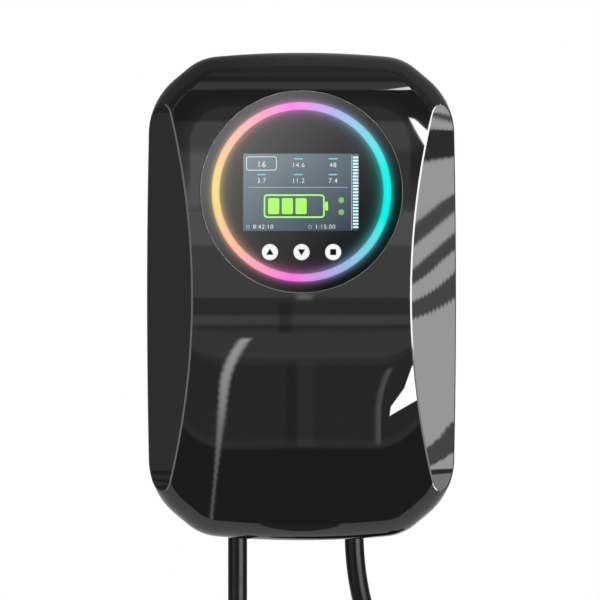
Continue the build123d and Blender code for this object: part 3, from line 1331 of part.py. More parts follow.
def grip_form():
    """The handle's outside: an oval grip that bends and swells into the round collar behind the nose."""
    grip = Ellipse(HANDLE_GRIP_DEPTH / 2, HANDLE_GRIP_WIDTH / 2)
    bend_middle = (BEND_START_share + BEND_END_share) / 2
    swell = (HANDLE_COLLAR_RADIUS + HANDLE_GRIP_DEPTH / 2) / 2
    collar_start = nose_start() - COLLAR_LENGTH
    return loft([
        connector_plane(BOOT_LENGTH) * Circle(HANDLE_NECK_RADIUS),
        connector_plane(BOOT_LENGTH + HANDLE_LENGTH * GRIP_START_share) * grip,
        connector_plane(BOOT_LENGTH + HANDLE_LENGTH * GRIP_END_share) * grip,
        connector_plane(BOOT_LENGTH + HANDLE_LENGTH * bend_middle) * Circle(swell),
        connector_plane(collar_start) * Circle(HANDLE_COLLAR_RADIUS),
    ])


def grip_ribs():
    """Grooves across the side of the grip that the fingers close on."""
    first = BOOT_LENGTH + HANDLE_LENGTH * GRIP_START_share
    grooves = []
    for number in range(GRIP_RIB_COUNT):
        plane = connector_plane(first + GRIP_RIB_PITCH * (number - 1 / 2))
        floor = Ellipse(HANDLE_GRIP_DEPTH / 2 - GRIP_RIB_DEPTH, HANDLE_GRIP_WIDTH)
        front = Pos(HANDLE_GRIP_DEPTH / 2, 0) * Rectangle(HANDLE_GRIP_DEPTH / 2, HANDLE_GRIP_WIDTH)
        grooves.append(extrude(plane * (front - floor), amount=GRIP_RIB_WIDTH))
    return grooves


def make_connector_shell():
    """Handle, collar and nose in one moulding, with the slot that a lock pin enters."""
    shell = grip_form()
    for groove in grip_ribs():
        shell -= groove
    collar_start = connector_plane(nose_start() - COLLAR_LENGTH)
    collar = extrude(collar_start * Circle(HANDLE_COLLAR_RADIUS), amount=COLLAR_LENGTH)
    shell += fillet(collar.edges().filter_by(GeomType.CIRCLE).sort_by(Axis.Z)[0], COLLAR_EDGE_RADIUS)
    base = connector_plane(nose_start())
    nose = extrude(base * nose_sketch(NOSE_RADIUS, NOSE_FLAT), amount=NOSE_LENGTH)
    room = nose_sketch(NOSE_RADIUS - NOSE_WALL, NOSE_FLAT - NOSE_WALL)
    slot_start = base.offset(NOSE_LENGTH - LATCH_SLOT_SETBACK)
    slot = slot_start * Pos(NOSE_FLAT, 0) * Rectangle(2 * NOSE_WALL, LATCH_SLOT_WIDTH)
    nose -= extrude(base * room, amount=NOSE_LENGTH + OVERRUN)
    return shell + nose - extrude(slot, amount=-LATCH_SLOT_LENGTH)


def contact_places():
    """Place and radius of each contact, seen into the nose: middle, four power contacts, two pilots."""
    ring = (NOSE_RADIUS - NOSE_WALL) * CONTACT_RING_share
    power = [(*polar(ring, angle), CONTACT_RADIUS) for angle in CONTACT_ANGLES]
    signal_x = NOSE_FLAT * SIGNAL_RISE_share
    signals = [(signal_x, side * NOSE_RADIUS * SIGNAL_SPREAD_share, SIGNAL_RADIUS) for side in (-1, 1)]
    return [(0, 0, CONTACT_RADIUS)] + power + signals


def make_connector_insert():
    """Insulating core of the nose, with a well for each contact."""
    back = nose_sketch(NOSE_RADIUS - NOSE_WALL - INSERT_GAP, NOSE_FLAT - NOSE_WALL - INSERT_GAP)
    sketch = back
    for x, y, radius in contact_places():
        sketch -= Pos(x, y) * Circle(radius + CONTACT_WELL_GAP)
    floor = connector_plane(nose_start())
    return extrude(floor * sketch, amount=INSERT_LENGTH) + extrude(floor * back, amount=INSERT_SETBACK)


def make_connector_contacts():
    floor = connector_plane(nose_start() + INSERT_SETBACK)
    places = contact_places()
    return [extrude(floor * Pos(x, y) * Circle(size), amount=CONTACT_LENGTH) for x, y, size in places]


def make_connector_cap():
    """Rubber cap pushed over the nose, with a bead round its mouth and a pull tab."""
    tip = nose_start() + NOSE_LENGTH
    mouth = connector_plane(tip - CAP_DEPTH)
    radius, flat = NOSE_RADIUS + CAP_GAP, NOSE_FLAT + CAP_GAP
    cap = extrude(mouth * nose_sketch(radius + CAP_WALL, flat + CAP_WALL), amount=CAP_DEPTH + CAP_WALL)
    bead = CAP_WALL + CAP_BEAD_HEIGHT
    cap += extrude(mouth * nose_sketch(radius + bead, flat + bead), amount=CAP_BEAD_WIDTH)
    tab = Pos(radius + CAP_WALL, 0) * SlotCenterToCenter(CAP_TAB_LENGTH * 2 - CAP_TAB_WIDTH, CAP_TAB_WIDTH)
    tab -= Pos(radius + CAP_WALL + CAP_TAB_LENGTH - CAP_TAB_WIDTH / 2, 0) * Circle(CAP_TAB_HOLE_RADIUS)
    tab = connector_plane(tip + CAP_WALL) * tab
    cap += extrude(tab, amount=-CAP_TAB_THICKNESS)
    return cap - extrude(mouth.offset(-OVERRUN) * nose_sketch(radius, flat), amount=CAP_DEPTH + OVERRUN)


PIECES = {
    "front_cover": make_front_cover,
    "rear_housing": make_rear_housing,
    "cover_gasket": make_cover_gasket,
    "cover_screws": make_cover_screws,
    "wall_bracket": make_wall_bracket,
    "lock_screw": make_lock_screw,
    "display_glass": make_display_glass,
    "lens_gasket": make_lens_gasket,
    "display_carrier": make_display_carrier,
    "carrier_screws": lambda: small_screws(carrier_screw_places(), CARRIER_FLANGE_BACK),
    "light_guide": make_light_guide,
    "lcd_panel": make_lcd_panel,
    "lcd_frame": make_lcd_frame,
    "display_board": make_display_board,
    "display_board_screws": lambda: small_screws(post_places(), DISPLAY_BOARD_BACK),
    "ring_leds": make_ring_leds,
    "tact_switches": make_tact_switches,
    "main_board": make_main_board,
    "main_board_screws": make_board_screws,
    "relays": make_relays,
    "transformer_core": make_transformer_core,
    "transformer_winding": make_transformer_winding,
    "capacitors": make_capacitors,
    "fuse": make_fuse,
    "fuse_clips": make_fuse_clips,
    "buzzer": make_buzzer,
    "radio_module": make_radio_module,
    "control_chip": make_control_chip,
    "supply_terminal_block": lambda: make_terminal_block(SUPPLY_OFFSET, SUPPLY_POLES),
    "output_terminal_block": lambda: make_terminal_block(CHARGING_OFFSET, OUTPUT_POLES),
    "terminal_screws": make_terminal_screws,
    "current_sensor": make_current_sensor,
    "supply_cores": lambda: make_cores(SUPPLY_OFFSET, SUPPLY_POLES, [CORE_RADIUS] * SUPPLY_POLES),
    "output_cores": lambda: make_cores(CHARGING_OFFSET, OUTPUT_POLES, [CORE_RADIUS] * 3 + [PILOT_RADIUS]),
    "core_ferrules": make_ferrules,
    "ribbon_cable": make_ribbon_cable,
    "ribbon_headers": make_headers,
    "gland_bodies": lambda: both_cables(make_gland_body),
    "gland_washers": lambda: both_cables(make_gland_washer),
    "gland_lock_nuts": lambda: both_cables(make_lock_nut),
    "gland_dome_nuts": lambda: both_cables(make_dome_nut),
    "gland_seals": lambda: both_cables(make_gland_seal),
    "supply_lead": make_supply_lead,
    "supply_tail_cores": make_tail_cores,
    "supply_tail_ferrules": make_tail_ferrules,
    "charging_lead": make_charging_lead,
    "lead_coil": make_lead_coil,
    "coil_ties": make_coil_ties,
    "lead_tail": lambda: cord_tube("lead_tail", TAIL_POINTS),
    "connector_boot": make_connector_boot,
    "connector_shell": make_connector_shell,
    "connector_insert": make_connector_insert,
    "connector_contacts": make_connector_contacts,
    "connector_cap": make_connector_cap,
}


def pieces():
    """Every node's name and shape, the three buttons and their switch plungers last."""
    for name, make in PIECES.items():
        yield name, make()
    for name, x in BUTTON_OFFSETS.items():
        yield f"button_{name}", make_button(x)
        yield f"plunger_{name}", make_plunger(x)


os.makedirs("parts", exist_ok=True)
for node, shape in pieces():
    made = Compound(children=shape) if isinstance(shape, list) else shape
    export_step(made, f"parts/{node}.step")
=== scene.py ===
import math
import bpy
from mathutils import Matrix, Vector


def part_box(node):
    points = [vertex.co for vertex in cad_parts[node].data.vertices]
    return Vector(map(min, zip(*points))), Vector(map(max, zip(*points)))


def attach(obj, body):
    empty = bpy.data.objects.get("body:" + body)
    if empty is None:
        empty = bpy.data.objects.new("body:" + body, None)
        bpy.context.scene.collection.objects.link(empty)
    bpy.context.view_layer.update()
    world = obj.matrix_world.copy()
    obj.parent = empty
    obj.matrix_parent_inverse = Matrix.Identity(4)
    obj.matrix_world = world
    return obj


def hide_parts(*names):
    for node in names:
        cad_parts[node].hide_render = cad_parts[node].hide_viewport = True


bl_info = {
    "name": "Car charging wallbox",
    "version": (1, 0, 0),
    "blender": (4, 5, 0),
    "location": "View3D > Sidebar > Wallbox",
    "description": "Dresses the packed model of a wall-mounted car charging box and sets up its studio",
    "category": "Object",
}

import bmesh
import bpy
from bpy.props import FloatProperty, FloatVectorProperty, IntProperty, PointerProperty
from mathutils import Matrix, Vector

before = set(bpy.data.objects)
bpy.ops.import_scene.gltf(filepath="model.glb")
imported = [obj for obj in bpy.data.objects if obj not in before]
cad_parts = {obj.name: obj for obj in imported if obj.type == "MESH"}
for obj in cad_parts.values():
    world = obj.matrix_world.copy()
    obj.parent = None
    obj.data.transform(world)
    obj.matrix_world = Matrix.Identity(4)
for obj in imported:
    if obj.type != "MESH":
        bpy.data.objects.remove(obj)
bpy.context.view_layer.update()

MM = 0.001
BOX_BODY = "box"
BUTTON_BODIES = {"up": "button_up_body", "down": "button_down_body", "stop": "button_stop_body"}

# Routes of the two leads, from inside the box through their glands
CHARGING_EXIT = (0.0385, -0.0305, -0.146)
CHARGING_START = (0.0385, -0.0305, -0.124)
CHARGING_ROUTE = (
    (0.0385, -0.0305, -0.196),
    (0.048, -0.0285, -0.241),
    (0.078, -0.025, -0.272),
    (0.094, -0.0235, -0.283),
)
TAIL_ROUTE = (
    (0.162, -0.0375, -0.406),
    (0.1626, -0.038, -0.436),
    (0.164, -0.040, -0.466),
)
SUPPLY_EXIT = (-0.0468, -0.0305, -0.146)
SUPPLY_ROUTE = (
    (-0.0468, -0.0305, -0.124),
    (-0.0468, -0.0305, -0.146),
    (-0.0468, -0.0305, -0.300),
    (-0.0505, -0.030, -0.440),
    (-0.060, -0.029, -0.572),
)

# Coil of the charging lead: cells are (layer outwards, column from front to back)
COIL_CENTRE = Vector((0.068, -0.0305, -0.378))
COIL_INNER_RADIUS = 0.066
COIL_COLUMNS = 4
COIL_CELLS = (
    (2, 2), (2, 3), (1, 3), (0, 3), (0, 2), (1, 2), (1, 1), (0, 1), (0, 0), (1, 0), (2, 0), (2, 1),
)
COIL_START_ANGLE = 56
COIL_TURNED = 3296
COIL_STEP = 15
CELL_RUN = 280
CELL_CHANGE = 80
FIRST_CHANGE = 245

# Straps round the coil
STRAP_ANGLES = (114.8, 224.8, 294.8)
STRAP_MIDDLE_RADIUS = 0.080
BUNDLE_RADIAL = 0.0432
BUNDLE_AXIAL = 0.0572
BUNDLE_CORNER = 0.0085

# Display
DISC_CENTRE = Vector((0.0, -0.1024, 0.0755))
MASK_RADIUS = 0.0731
RING_OUTER_RADIUS = 0.0648
RING_INNER_RADIUS = 0.0593
MASK_DEPTH = -0.10246
MASK_THICKNESS = 0.00008
BUTTON_WINDOW_RADIUS = 0.00592
BUTTON_OFFSETS = {"up": -0.0228, "down": 0.0, "stop": 0.0228}
BUTTON_HEIGHT = 0.032
SCREEN_CENTRE = Vector((-0.0003, -0.10222, 0.0752))
SCREEN_WIDTH = 0.0835
SCREEN_HEIGHT = 0.0557
SCREEN_LAYER = 0.00002


class WallboxSizes(bpy.types.PropertyGroup):
    """Sizes of the new pieces"""

    cable_diameter: FloatProperty(
        name="Cable diameter", description="Outer diameter of both leads", default=0.014, min=0.01, max=0.02,
        unit="LENGTH", subtype="DISTANCE",
    )
    strap_width: FloatProperty(
        name="Strap width", description="Width of the straps round the coil", default=0.020, min=0.01, max=0.03,
        unit="LENGTH", subtype="DISTANCE",
    )
    strap_thickness: FloatProperty(
        name="Strap thickness", description="Thickness of the woven straps", default=0.0014, min=0.0008, max=0.002,
        unit="LENGTH", subtype="DISTANCE",
    )
    icon_size: FloatProperty(
        name="Button sign size", description="Width of the printed signs on the caps", default=0.0050, min=0.003,
        max=0.006, unit="LENGTH", subtype="DISTANCE",
    )
    screen_bars: IntProperty(
        name="Level bars", description="Number of bars in the level gauge on the screen", default=23, min=8, max=30,
    )


class WallboxColours(bpy.types.PropertyGroup):
    """Colours of the finishes"""

    cover: FloatVectorProperty(
        name="Cover", description="Gloss cover", default=(0.005, 0.005, 0.0055), min=0, max=1, size=3,
        subtype="COLOR",
    )
    housing: FloatVectorProperty(
        name="Housing", description="Moulded rear housing and glands", default=(0.022, 0.022, 0.023), min=0, max=1,
        size=3, subtype="COLOR",
    )
    sheath: FloatVectorProperty(
        name="Cable sheath", description="Sheath of both leads", default=(0.0042, 0.0042, 0.0048), min=0, max=1,
        size=3, subtype="COLOR",
    )
    caps: FloatVectorProperty(
        name="Button caps", description="Push button caps", default=(0.80, 0.80, 0.80), min=0, max=1, size=3,
        subtype="COLOR",
    )
    strap: FloatVectorProperty(
        name="Straps", description="Woven straps", default=(0.018, 0.018, 0.020), min=0, max=1, size=3,
        subtype="COLOR",
    )


class WallboxStudio(bpy.types.PropertyGroup):
    """Camera and light"""

    camera_distance: FloatProperty(
        name="Camera distance", description="Distance of the camera in front of the box", default=5.0, min=2.0,
        max=12.0, unit="LENGTH", subtype="DISTANCE",
    )
    frame_width: FloatProperty(
        name="Frame width", description="Width that the picture covers at the box", default=0.4368, min=0.3, max=1.0,
        unit="LENGTH", subtype="DISTANCE",
    )
    floor_height: FloatProperty(
        name="Floor height", description="Height of the floor below the mounting holes", default=-1.0, min=-2.0,
        max=-0.8, unit="LENGTH", subtype="DISTANCE",
    )
    room_light: FloatProperty(
        name="Room light", description="Even light from all sides", default=0.62, min=0.1, max=1.5
    )


# Node trees


class Tree:
    """A node tree with short calls to add and join nodes."""

    def __init__(self, tree):
        self.tree = tree

    def add(self, kind, inputs=None, **settings):
        """Adds a node. inputs gives a number, colour or output socket by input name or index."""
        node = self.tree.nodes.new(kind)
        for name, value in settings.items():
            setattr(node, name, value)
        for name, value in (inputs or {}).items():
            self.set(node.inputs[name], value)
        return node

    def set(self, socket, value):
        if isinstance(value, bpy.types.NodeSocket):
            self.tree.links.new(value, socket)
        else:
            socket.default_value = value

    def math(self, operation, *terms):
        return self.add("ShaderNodeMath", dict(enumerate(terms)), operation=operation).outputs[0]

    def times(self, value, *factors):
        for factor in factors:
            value = self.math("MULTIPLY", value, factor)
        return value

    def plus(self, first, second):
        return self.math("ADD", first, second)

    def minus(self, first, second):
        return self.math("SUBTRACT", first, second)

    def over(self, first, second):
        return self.math("DIVIDE", first, second)

    def times_plus(self, value, factor, added):
        return self.math("MULTIPLY_ADD", value, factor, added)

    def absolute(self, value):
        return self.math("ABSOLUTE", value)

    def sine(self, value):
        return self.math("SINE", value)

    def fraction(self, value):
        return self.math("FRACT", value)

    def past(self, value, start):
        """How far a value lies past a start, and zero before it."""
        return self.math("MAXIMUM", self.minus(value, start), 0.0)

    def hypotenuse(self, first, second):
        return self.math("SQRT", self.plus(self.times(first, first), self.times(second, second)))

    def soft_step(self, value, low, high, start=0.0, end=1.0):
        """Rises smoothly from start to end while value goes from low to high."""
        node = self.add(
            "ShaderNodeMapRange", {"Value": value, 1: low, 2: high, 3: start, 4: end}, interpolation_type="SMOOTHSTEP"
        )
        return node.outputs[0]

    def band(self, value, low, high, soft):
        """One between low and high, zero outside, with soft edges."""
        rise = self.soft_step(value, low - soft, low + soft)
        fall = self.soft_step(value, high - soft, high + soft, 1.0, 0.0)
        return self.times(rise, fall)

    def ramp(self, factor, stops):
        """Colour ramp through (position, colour or grey) stops."""
        node = self.add("ShaderNodeValToRGB", {"Fac": factor})
        ramp = node.color_ramp
        ramp.interpolation = "LINEAR"
        while len(ramp.elements) < len(stops):
            ramp.elements.new(1.0)
        for element, (position, colour) in zip(ramp.elements, stops):
            element.position = position
            element.color = (*colour, 1.0) if hasattr(colour, "__len__") else (colour, colour, colour, 1.0)
        return node.outputs["Color"]

    def mix(self, factor, first, second, blend="MIX"):
        """Mixes two colours."""
        node = self.add("ShaderNodeMix", data_type="RGBA", blend_type=blend)
        self.set(node.inputs["Factor"], factor)
        self.set(node.inputs[6], first if not isinstance(first, tuple) else (*first, 1.0))
        self.set(node.inputs[7], second if not isinstance(second, tuple) else (*second, 1.0))
        return node.outputs[2]

    def group(self, tree, **inputs):
        """Places a shared effect."""
        node = self.add("ShaderNodeGroup", node_tree=tree)
        for name, value in inputs.items():
            self.set(node.inputs[name.replace("_", " ")], value)
        return node.outputs

    def object_place(self):
        return self.add("ShaderNodeTexCoord").outputs["Object"]

    def split(self, vector):
        return self.add("ShaderNodeSeparateXYZ", {0: vector}).outputs


def shared_effect(name, inputs, outputs):
    """An empty node group with named sockets, and its tree."""
    group = bpy.data.node_groups.new(name, "ShaderNodeTree")
    kinds = {"value": "NodeSocketFloat", "vector": "NodeSocketVector", "colour": "NodeSocketColor"}
    for socket, kind, default in inputs:
        made = group.interface.new_socket(socket, in_out="INPUT", socket_type=kinds[kind])
        if default is not None:
            made.default_value = default
    for socket, kind in outputs:
        group.interface.new_socket(socket, in_out="OUTPUT", socket_type=kinds[kind])
    tree = Tree(group)
    return group, tree, tree.add("NodeGroupInput").outputs, tree.add("NodeGroupOutput")


def make_moulded_grain():
    """Fine texture of a spark-eroded mould."""
    group, tree, given, out = shared_effect(
        "moulded_grain",
        [("Vector", "vector", None), ("Scale", "value", 1500.0), ("Depth", "value", 1.0)],
        [("Height", "value")],
    )
    pits = tree.add("ShaderNodeTexVoronoi", {"Vector": given["Vector"], "Scale": given["Scale"]})
    cloud = tree.add("ShaderNodeTexNoise", {"Vector": given["Vector"], "Scale": given["Scale"], "Detail": 3.0})
    both = tree.plus(pits.outputs["Distance"], cloud.outputs["Fac"])
    tree.set(out.inputs["Height"], tree.times(both, given["Depth"]))
    return group


def make_handling_marks():
    """Patches where hands and cloths have polished or dulled the surface."""
    group, tree, given, out = shared_effect(
        "handling_marks",
        [("Vector", "vector", None), ("Scale", "value", 12.0), ("Low", "value", 0.3), ("High", "value", 0.4)],
        [("Roughness", "value"), ("Mask", "value")],
    )
    cloud = tree.add(
        "ShaderNodeTexNoise", {"Vector": given["Vector"], "Scale": given["Scale"], "Detail": 5.0, "Distortion": 0.6}
    )
    mask = tree.soft_step(cloud.outputs["Fac"], 0.38, 0.64)
    spread = tree.minus(given["High"], given["Low"])
    tree.set(out.inputs["Roughness"], tree.times_plus(mask, spread, given["Low"]))
    tree.set(out.inputs["Mask"], mask)
    return group


def make_colour_drift():
    """Slow and fine changes of a colour's lightness."""
    group, tree, given, out = shared_effect(
        "colour_drift",
        [("Vector", "vector", None), ("Colour", "colour", None), ("Scale", "value", 20.0), ("Drift", "value", 0.1)],
        [("Colour", "colour")],
    )
    slow = tree.add("ShaderNodeTexNoise", {"Vector": given["Vector"], "Scale": given["Scale"], "Detail": 4.0})
    fine_scale = tree.times(given["Scale"], 40.0)
    fine = tree.add("ShaderNodeTexNoise", {"Vector": given["Vector"], "Scale": fine_scale, "Detail": 2.0})
    both = tree.plus(slow.outputs["Fac"], fine.outputs["Fac"])
    centred = tree.minus(both, 1.0)
    lightness = tree.times_plus(centred, given["Drift"], 1.0)
    changed = tree.add("ShaderNodeHueSaturation", {"Color": given["Colour"], "Value": lightness})
    tree.set(out.inputs["Colour"], changed.outputs["Color"])
    return group


def make_rolled_streaks():
    """Long fine streaks that rolling and plating leave on sheet metal."""
    group, tree, given, out = shared_effect(
        "rolled_streaks",
        [("Vector", "vector", None), ("Scale", "value", 60.0)],
        [("Height", "value"), ("Spangle", "value")],
    )
    stretched = tree.add("ShaderNodeMapping", {"Vector": given["Vector"], "Scale": (1.0, 1.0, 0.04)})
    fine_scale = tree.times(given["Scale"], 30.0)
    lines = tree.add("ShaderNodeTexNoise", {"Vector": stretched.outputs[0], "Scale": fine_scale, "Detail": 2.0})
    cells = tree.add("ShaderNodeTexVoronoi", {"Vector": given["Vector"], "Scale": given["Scale"]})
    tone = tree.add("ShaderNodeRGBToBW", {0: cells.outputs["Color"]})
    tree.set(out.inputs["Height"], lines.outputs["Fac"])
    tree.set(out.inputs["Spangle"], tone.outputs[0])
    return group


def make_woven_tape():
    """Plain weave: warp and weft ribs that pass over each other in turn, with painted shade that is darker where the
    weave lies low. The vector is in metres.
    """
    group, tree, given, out = shared_effect(
        "woven_tape",
        [("Vector", "vector", None), ("Pitch", "value", 0.0008)],
        [("Height", "value"), ("Shade", "value")],
    )
    place = tree.split(given["Vector"])
    along = tree.over(place["X"], given["Pitch"])
    across = tree.over(place["Y"], given["Pitch"])
    warp = tree.absolute(tree.sine(tree.times(along, math.pi)))
    weft = tree.absolute(tree.sine(tree.times(across, math.pi)))
    turn = tree.plus(tree.math("FLOOR", along), tree.math("FLOOR", across))
    over = tree.math("MODULO", tree.absolute(turn), 2.0)
    high = tree.times(warp, over)
    low = tree.times(weft, tree.minus(1.0, over))
    height = tree.plus(high, low)
    tree.set(out.inputs["Height"], height)
    # Shade is painted shade: darkest in the low parts between the ribs, full colour on their tops.
    tree.set(out.inputs["Shade"], tree.times_plus(height, 0.6, 0.4))
    return group


# Light ring: five colours from the right-hand side round to the left, alike above and below
LIGHT_CYAN = (0.0, 0.90, 0.82)
LIGHT_PERIWINKLE = (0.42, 0.42, 0.82)
LIGHT_MAGENTA = (0.95, 0.18, 0.76)
LIGHT_CORAL = (0.94, 0.46, 0.34)
LIGHT_AMBER = (0.86, 0.64, 0.19)
RING_COLOURS = (
    (0.10, LIGHT_CYAN), (0.38, LIGHT_PERIWINKLE), (0.53, LIGHT_MAGENTA), (0.76, LIGHT_CORAL), (0.97, LIGHT_AMBER),
)


def make_ring_light():
    """Colour of the light ring at a place, and the distance from the disc's middle."""
    group, tree, given, out = shared_effect(
        "ring_light", [("Vector", "vector", None)], [("Colour", "colour"), ("Radius", "value")]
    )
    place = tree.split(given["Vector"])
    rise = tree.minus(place["Z"], DISC_CENTRE.z)
    share = tree.absolute(tree.over(tree.math("ARCTAN2", rise, place["X"]), math.pi))
    tree.set(out.inputs["Colour"], tree.ramp(share, RING_COLOURS))
    tree.set(out.inputs["Radius"], tree.hypotenuse(rise, place["X"]))
    return group


EFFECT_MAKERS = (
    make_moulded_grain, make_handling_marks, make_colour_drift, make_rolled_streaks, make_woven_tape, make_ring_light,
)


def effect(name):
    """A shared effect by name, built on first use."""
    if name not in bpy.data.node_groups:
        for maker in EFFECT_MAKERS:
            if maker.__name__ == "make_" + name:
                maker()
    return bpy.data.node_groups[name]


# Materials


def new_finish(name):
    """A new material: its tree, its Principled node and the place on the piece."""
    material = bpy.data.materials.new(name)
    material.use_nodes = True
    tree = Tree(material.node_tree)
    shader = next(node for node in material.node_tree.nodes if node.type == "BSDF_PRINCIPLED")
    return material, tree, shader, tree.object_place()


def add_bump(tree, shader, height, distance, strength=1.0):
    bump = tree.add("ShaderNodeBump", {"Height": height, "Distance": distance, "Strength": strength})
    tree.set(shader.inputs["Normal"], bump.outputs["Normal"])


def drift_colour(tree, place, colour, scale, drift):
    outputs = tree.group(effect("colour_drift"), Vector=place, Scale=scale, Drift=drift)
    node = outputs["Colour"].node
    tree.set(node.inputs["Colour"], (*colour, 1.0) if isinstance(colour, tuple) else colour)
    return outputs["Colour"]


def marked_roughness(tree, place, low, high, scale):
    return tree.group(effect("handling_marks"), Vector=place, Low=low, High=high, Scale=scale)["Roughness"]


def moulded(name, colour, low, high, grain_scale, grain_depth, drift=0.12):
    """Moulded plastic or rubber with a grained surface. grain_depth is in metres."""
    material, tree, shader, place = new_finish(name)
    tree.set(shader.inputs["Base Color"], drift_colour(tree, place, tuple(colour), 18.0, drift))
    tree.set(shader.inputs["Roughness"], marked_roughness(tree, place, low, high, 22.0))
    grain = tree.group(effect("moulded_grain"), Vector=place, Scale=grain_scale, Depth=1.0)["Height"]
    add_bump(tree, shader, grain, grain_depth)
    return material


def plated(name, colour, low, high, spangle_scale, streak_depth):
    """Plated or rolled metal."""
    material, tree, shader, place = new_finish(name)
    streaks = tree.group(effect("rolled_streaks"), Vector=place, Scale=spangle_scale)
    dark = tuple(0.78 * share for share in colour)
    tree.set(shader.inputs["Base Color"], tree.mix(streaks["Spangle"], dark, tuple(colour)))
    shader.inputs["Metallic"].default_value = 1.0
    tree.set(shader.inputs["Roughness"], marked_roughness(tree, place, low, high, 40.0))
    add_bump(tree, shader, streaks["Height"], streak_depth)
    return material


def polished_cover(colour):
    """Piano-black cover: nearly a mirror, with the slight waves of a moulded face and faint wiping marks."""
    material, tree, shader, place = new_finish("gloss_black")
    tree.set(shader.inputs["Base Color"], drift_colour(tree, place, tuple(colour), 9.0, 0.10))
    tree.set(shader.inputs["Roughness"], marked_roughness(tree, place, 0.0, 0.009, 9.0))
    shader.inputs["IOR"].default_value = 1.50
    waves = tree.add("ShaderNodeTexNoise", {"Vector": place, "Scale": 16.0, "Detail": 1.0})
    add_bump(tree, shader, waves.outputs["Fac"], 0.000002)
    return material


def smoked_glass():
    """Clear display glass. The print and the lit parts bonded behind it carry its mirror image."""
    material, tree, shader, place = new_finish("clear_glass")
    shader.inputs["Base Color"].default_value = (0.99, 0.99, 0.99, 1.0)
    shader.inputs["Transmission Weight"].default_value = 1.0
    shader.inputs["IOR"].default_value = 1.03
    tree.set(shader.inputs["Roughness"], marked_roughness(tree, place, 0.0, 0.004, 14.0))
    return material


def finish_bonded(tree, shader, place):
    """Gloss of a surface that is bonded behind the display glass: it mirrors as much as both faces of the glass."""
    shader.inputs["IOR"].default_value = 1.75
    tree.set(shader.inputs["Roughness"], marked_roughness(tree, place, 0.0, 0.008, 14.0))


def lit_ring():
    """Diffusing ring, lit in colours that run round it, a little brighter over each light behind it."""
    material, tree, shader, place = new_finish("light_ring")
    light = tree.group(effect("ring_light"), Vector=place)
    middle = (RING_INNER_RADIUS + RING_OUTER_RADIUS) / 2
    offset = tree.absolute(tree.minus(light["Radius"], middle))
    level = tree.soft_step(offset, 0.0008, 0.0031, 0.93, 0.80)
    tree.set(shader.inputs["Base Color"], tree.mix(0.05, (0.0, 0.0, 0.0), light["Colour"]))
    tree.set(shader.inputs["Emission Color"], tree.mix(1.0, light["Colour"], level, "MULTIPLY"))
    shader.inputs["Emission Strength"].default_value = 1.0
    finish_bonded(tree, shader, place)
    return material


def printed_mask():
    """Black print behind the glass, with the ring's light bleeding into it on both sides as a painted glow, and a
    thin grey rim at its outer edge as a painted highlight of the glass edge.
    """
    material, tree, shader, place = new_finish("display_print")
    light = tree.group(effect("ring_light"), Vector=place)
    # Painted glow: the ring's light spreads over the print as the print's own emission.
    outside = tree.minus(light["Radius"], RING_OUTER_RADIUS)
    inside = tree.minus(RING_INNER_RADIUS, light["Radius"])
    distance = tree.math("MAXIMUM", tree.math("MAXIMUM", tree.times(outside, 1.6), inside), 0.0)
    near = tree.math("POWER", math.e, tree.over(distance, -0.0024))
    far = tree.math("POWER", math.e, tree.over(distance, -0.007))
    glow = tree.plus(tree.times(near, 0.34), tree.times(far, 0.02))
    black = drift_colour(tree, place, (0.0028, 0.0028, 0.0028), 60.0, 0.2)
    # Painted highlight: a thin grey rim at the outer edge stands for the glass edge catching the light.
    painted_rim_highlight = tree.soft_step(light["Radius"], 0.07265, 0.07280)
    tree.set(shader.inputs["Base Color"], tree.mix(painted_rim_highlight, black, (0.16, 0.16, 0.17)))
    tree.set(shader.inputs["Emission Color"], tree.mix(1.0, light["Colour"], glow, "MULTIPLY"))
    shader.inputs["Emission Strength"].default_value = 1.0
    finish_bonded(tree, shader, place)
    return material


def lit_panel():
    """Screen backlight: slate grey at the upper left, blue-black at the lower right, over a fine pixel grid."""
    material, tree, shader, place = new_finish("lcd_screen")
    parts = tree.split(place)
    across = tree.over(tree.minus(parts["X"], SCREEN_CENTRE.x - SCREEN_WIDTH / 2), SCREEN_WIDTH)
    down = tree.over(tree.minus(SCREEN_CENTRE.z + SCREEN_HEIGHT / 2, parts["Z"]), SCREEN_HEIGHT)
    diagonal = tree.times_plus(across, 0.45, tree.times(down, 0.55))
    slate = tree.ramp(
        diagonal, ((0.0, (0.155, 0.205, 0.235)), (0.45, (0.082, 0.118, 0.142)), (1.0, (0.020, 0.038, 0.060)))
    )
    columns = tree.sine(tree.times(parts["X"], math.tau / 0.000174))
    grid = tree.times_plus(columns, 0.03, 1.0)
    tree.set(shader.inputs["Base Color"], drift_colour(tree, place, (0.01, 0.012, 0.014), 50.0, 0.2))
    tree.set(shader.inputs["Emission Color"], tree.mix(1.0, slate, grid, "MULTIPLY"))
    shader.inputs["Emission Strength"].default_value = 1.0
    finish_bonded(tree, shader, place)
    return material


def lit_sign(name, colour):
    """Lit picture element of the screen, with the slight unevenness of a backlight."""
    material, tree, shader, place = new_finish(name)
    glow = drift_colour(tree, place, tuple(colour), 45.0, 0.14)
    tree.set(shader.inputs["Emission Color"], glow)
    tree.set(shader.inputs["Base Color"], tree.mix(0.1, (0.0, 0.0, 0.0), glow))
    shader.inputs["Emission Strength"].default_value = 1.0
    finish_bonded(tree, shader, place)
    return material


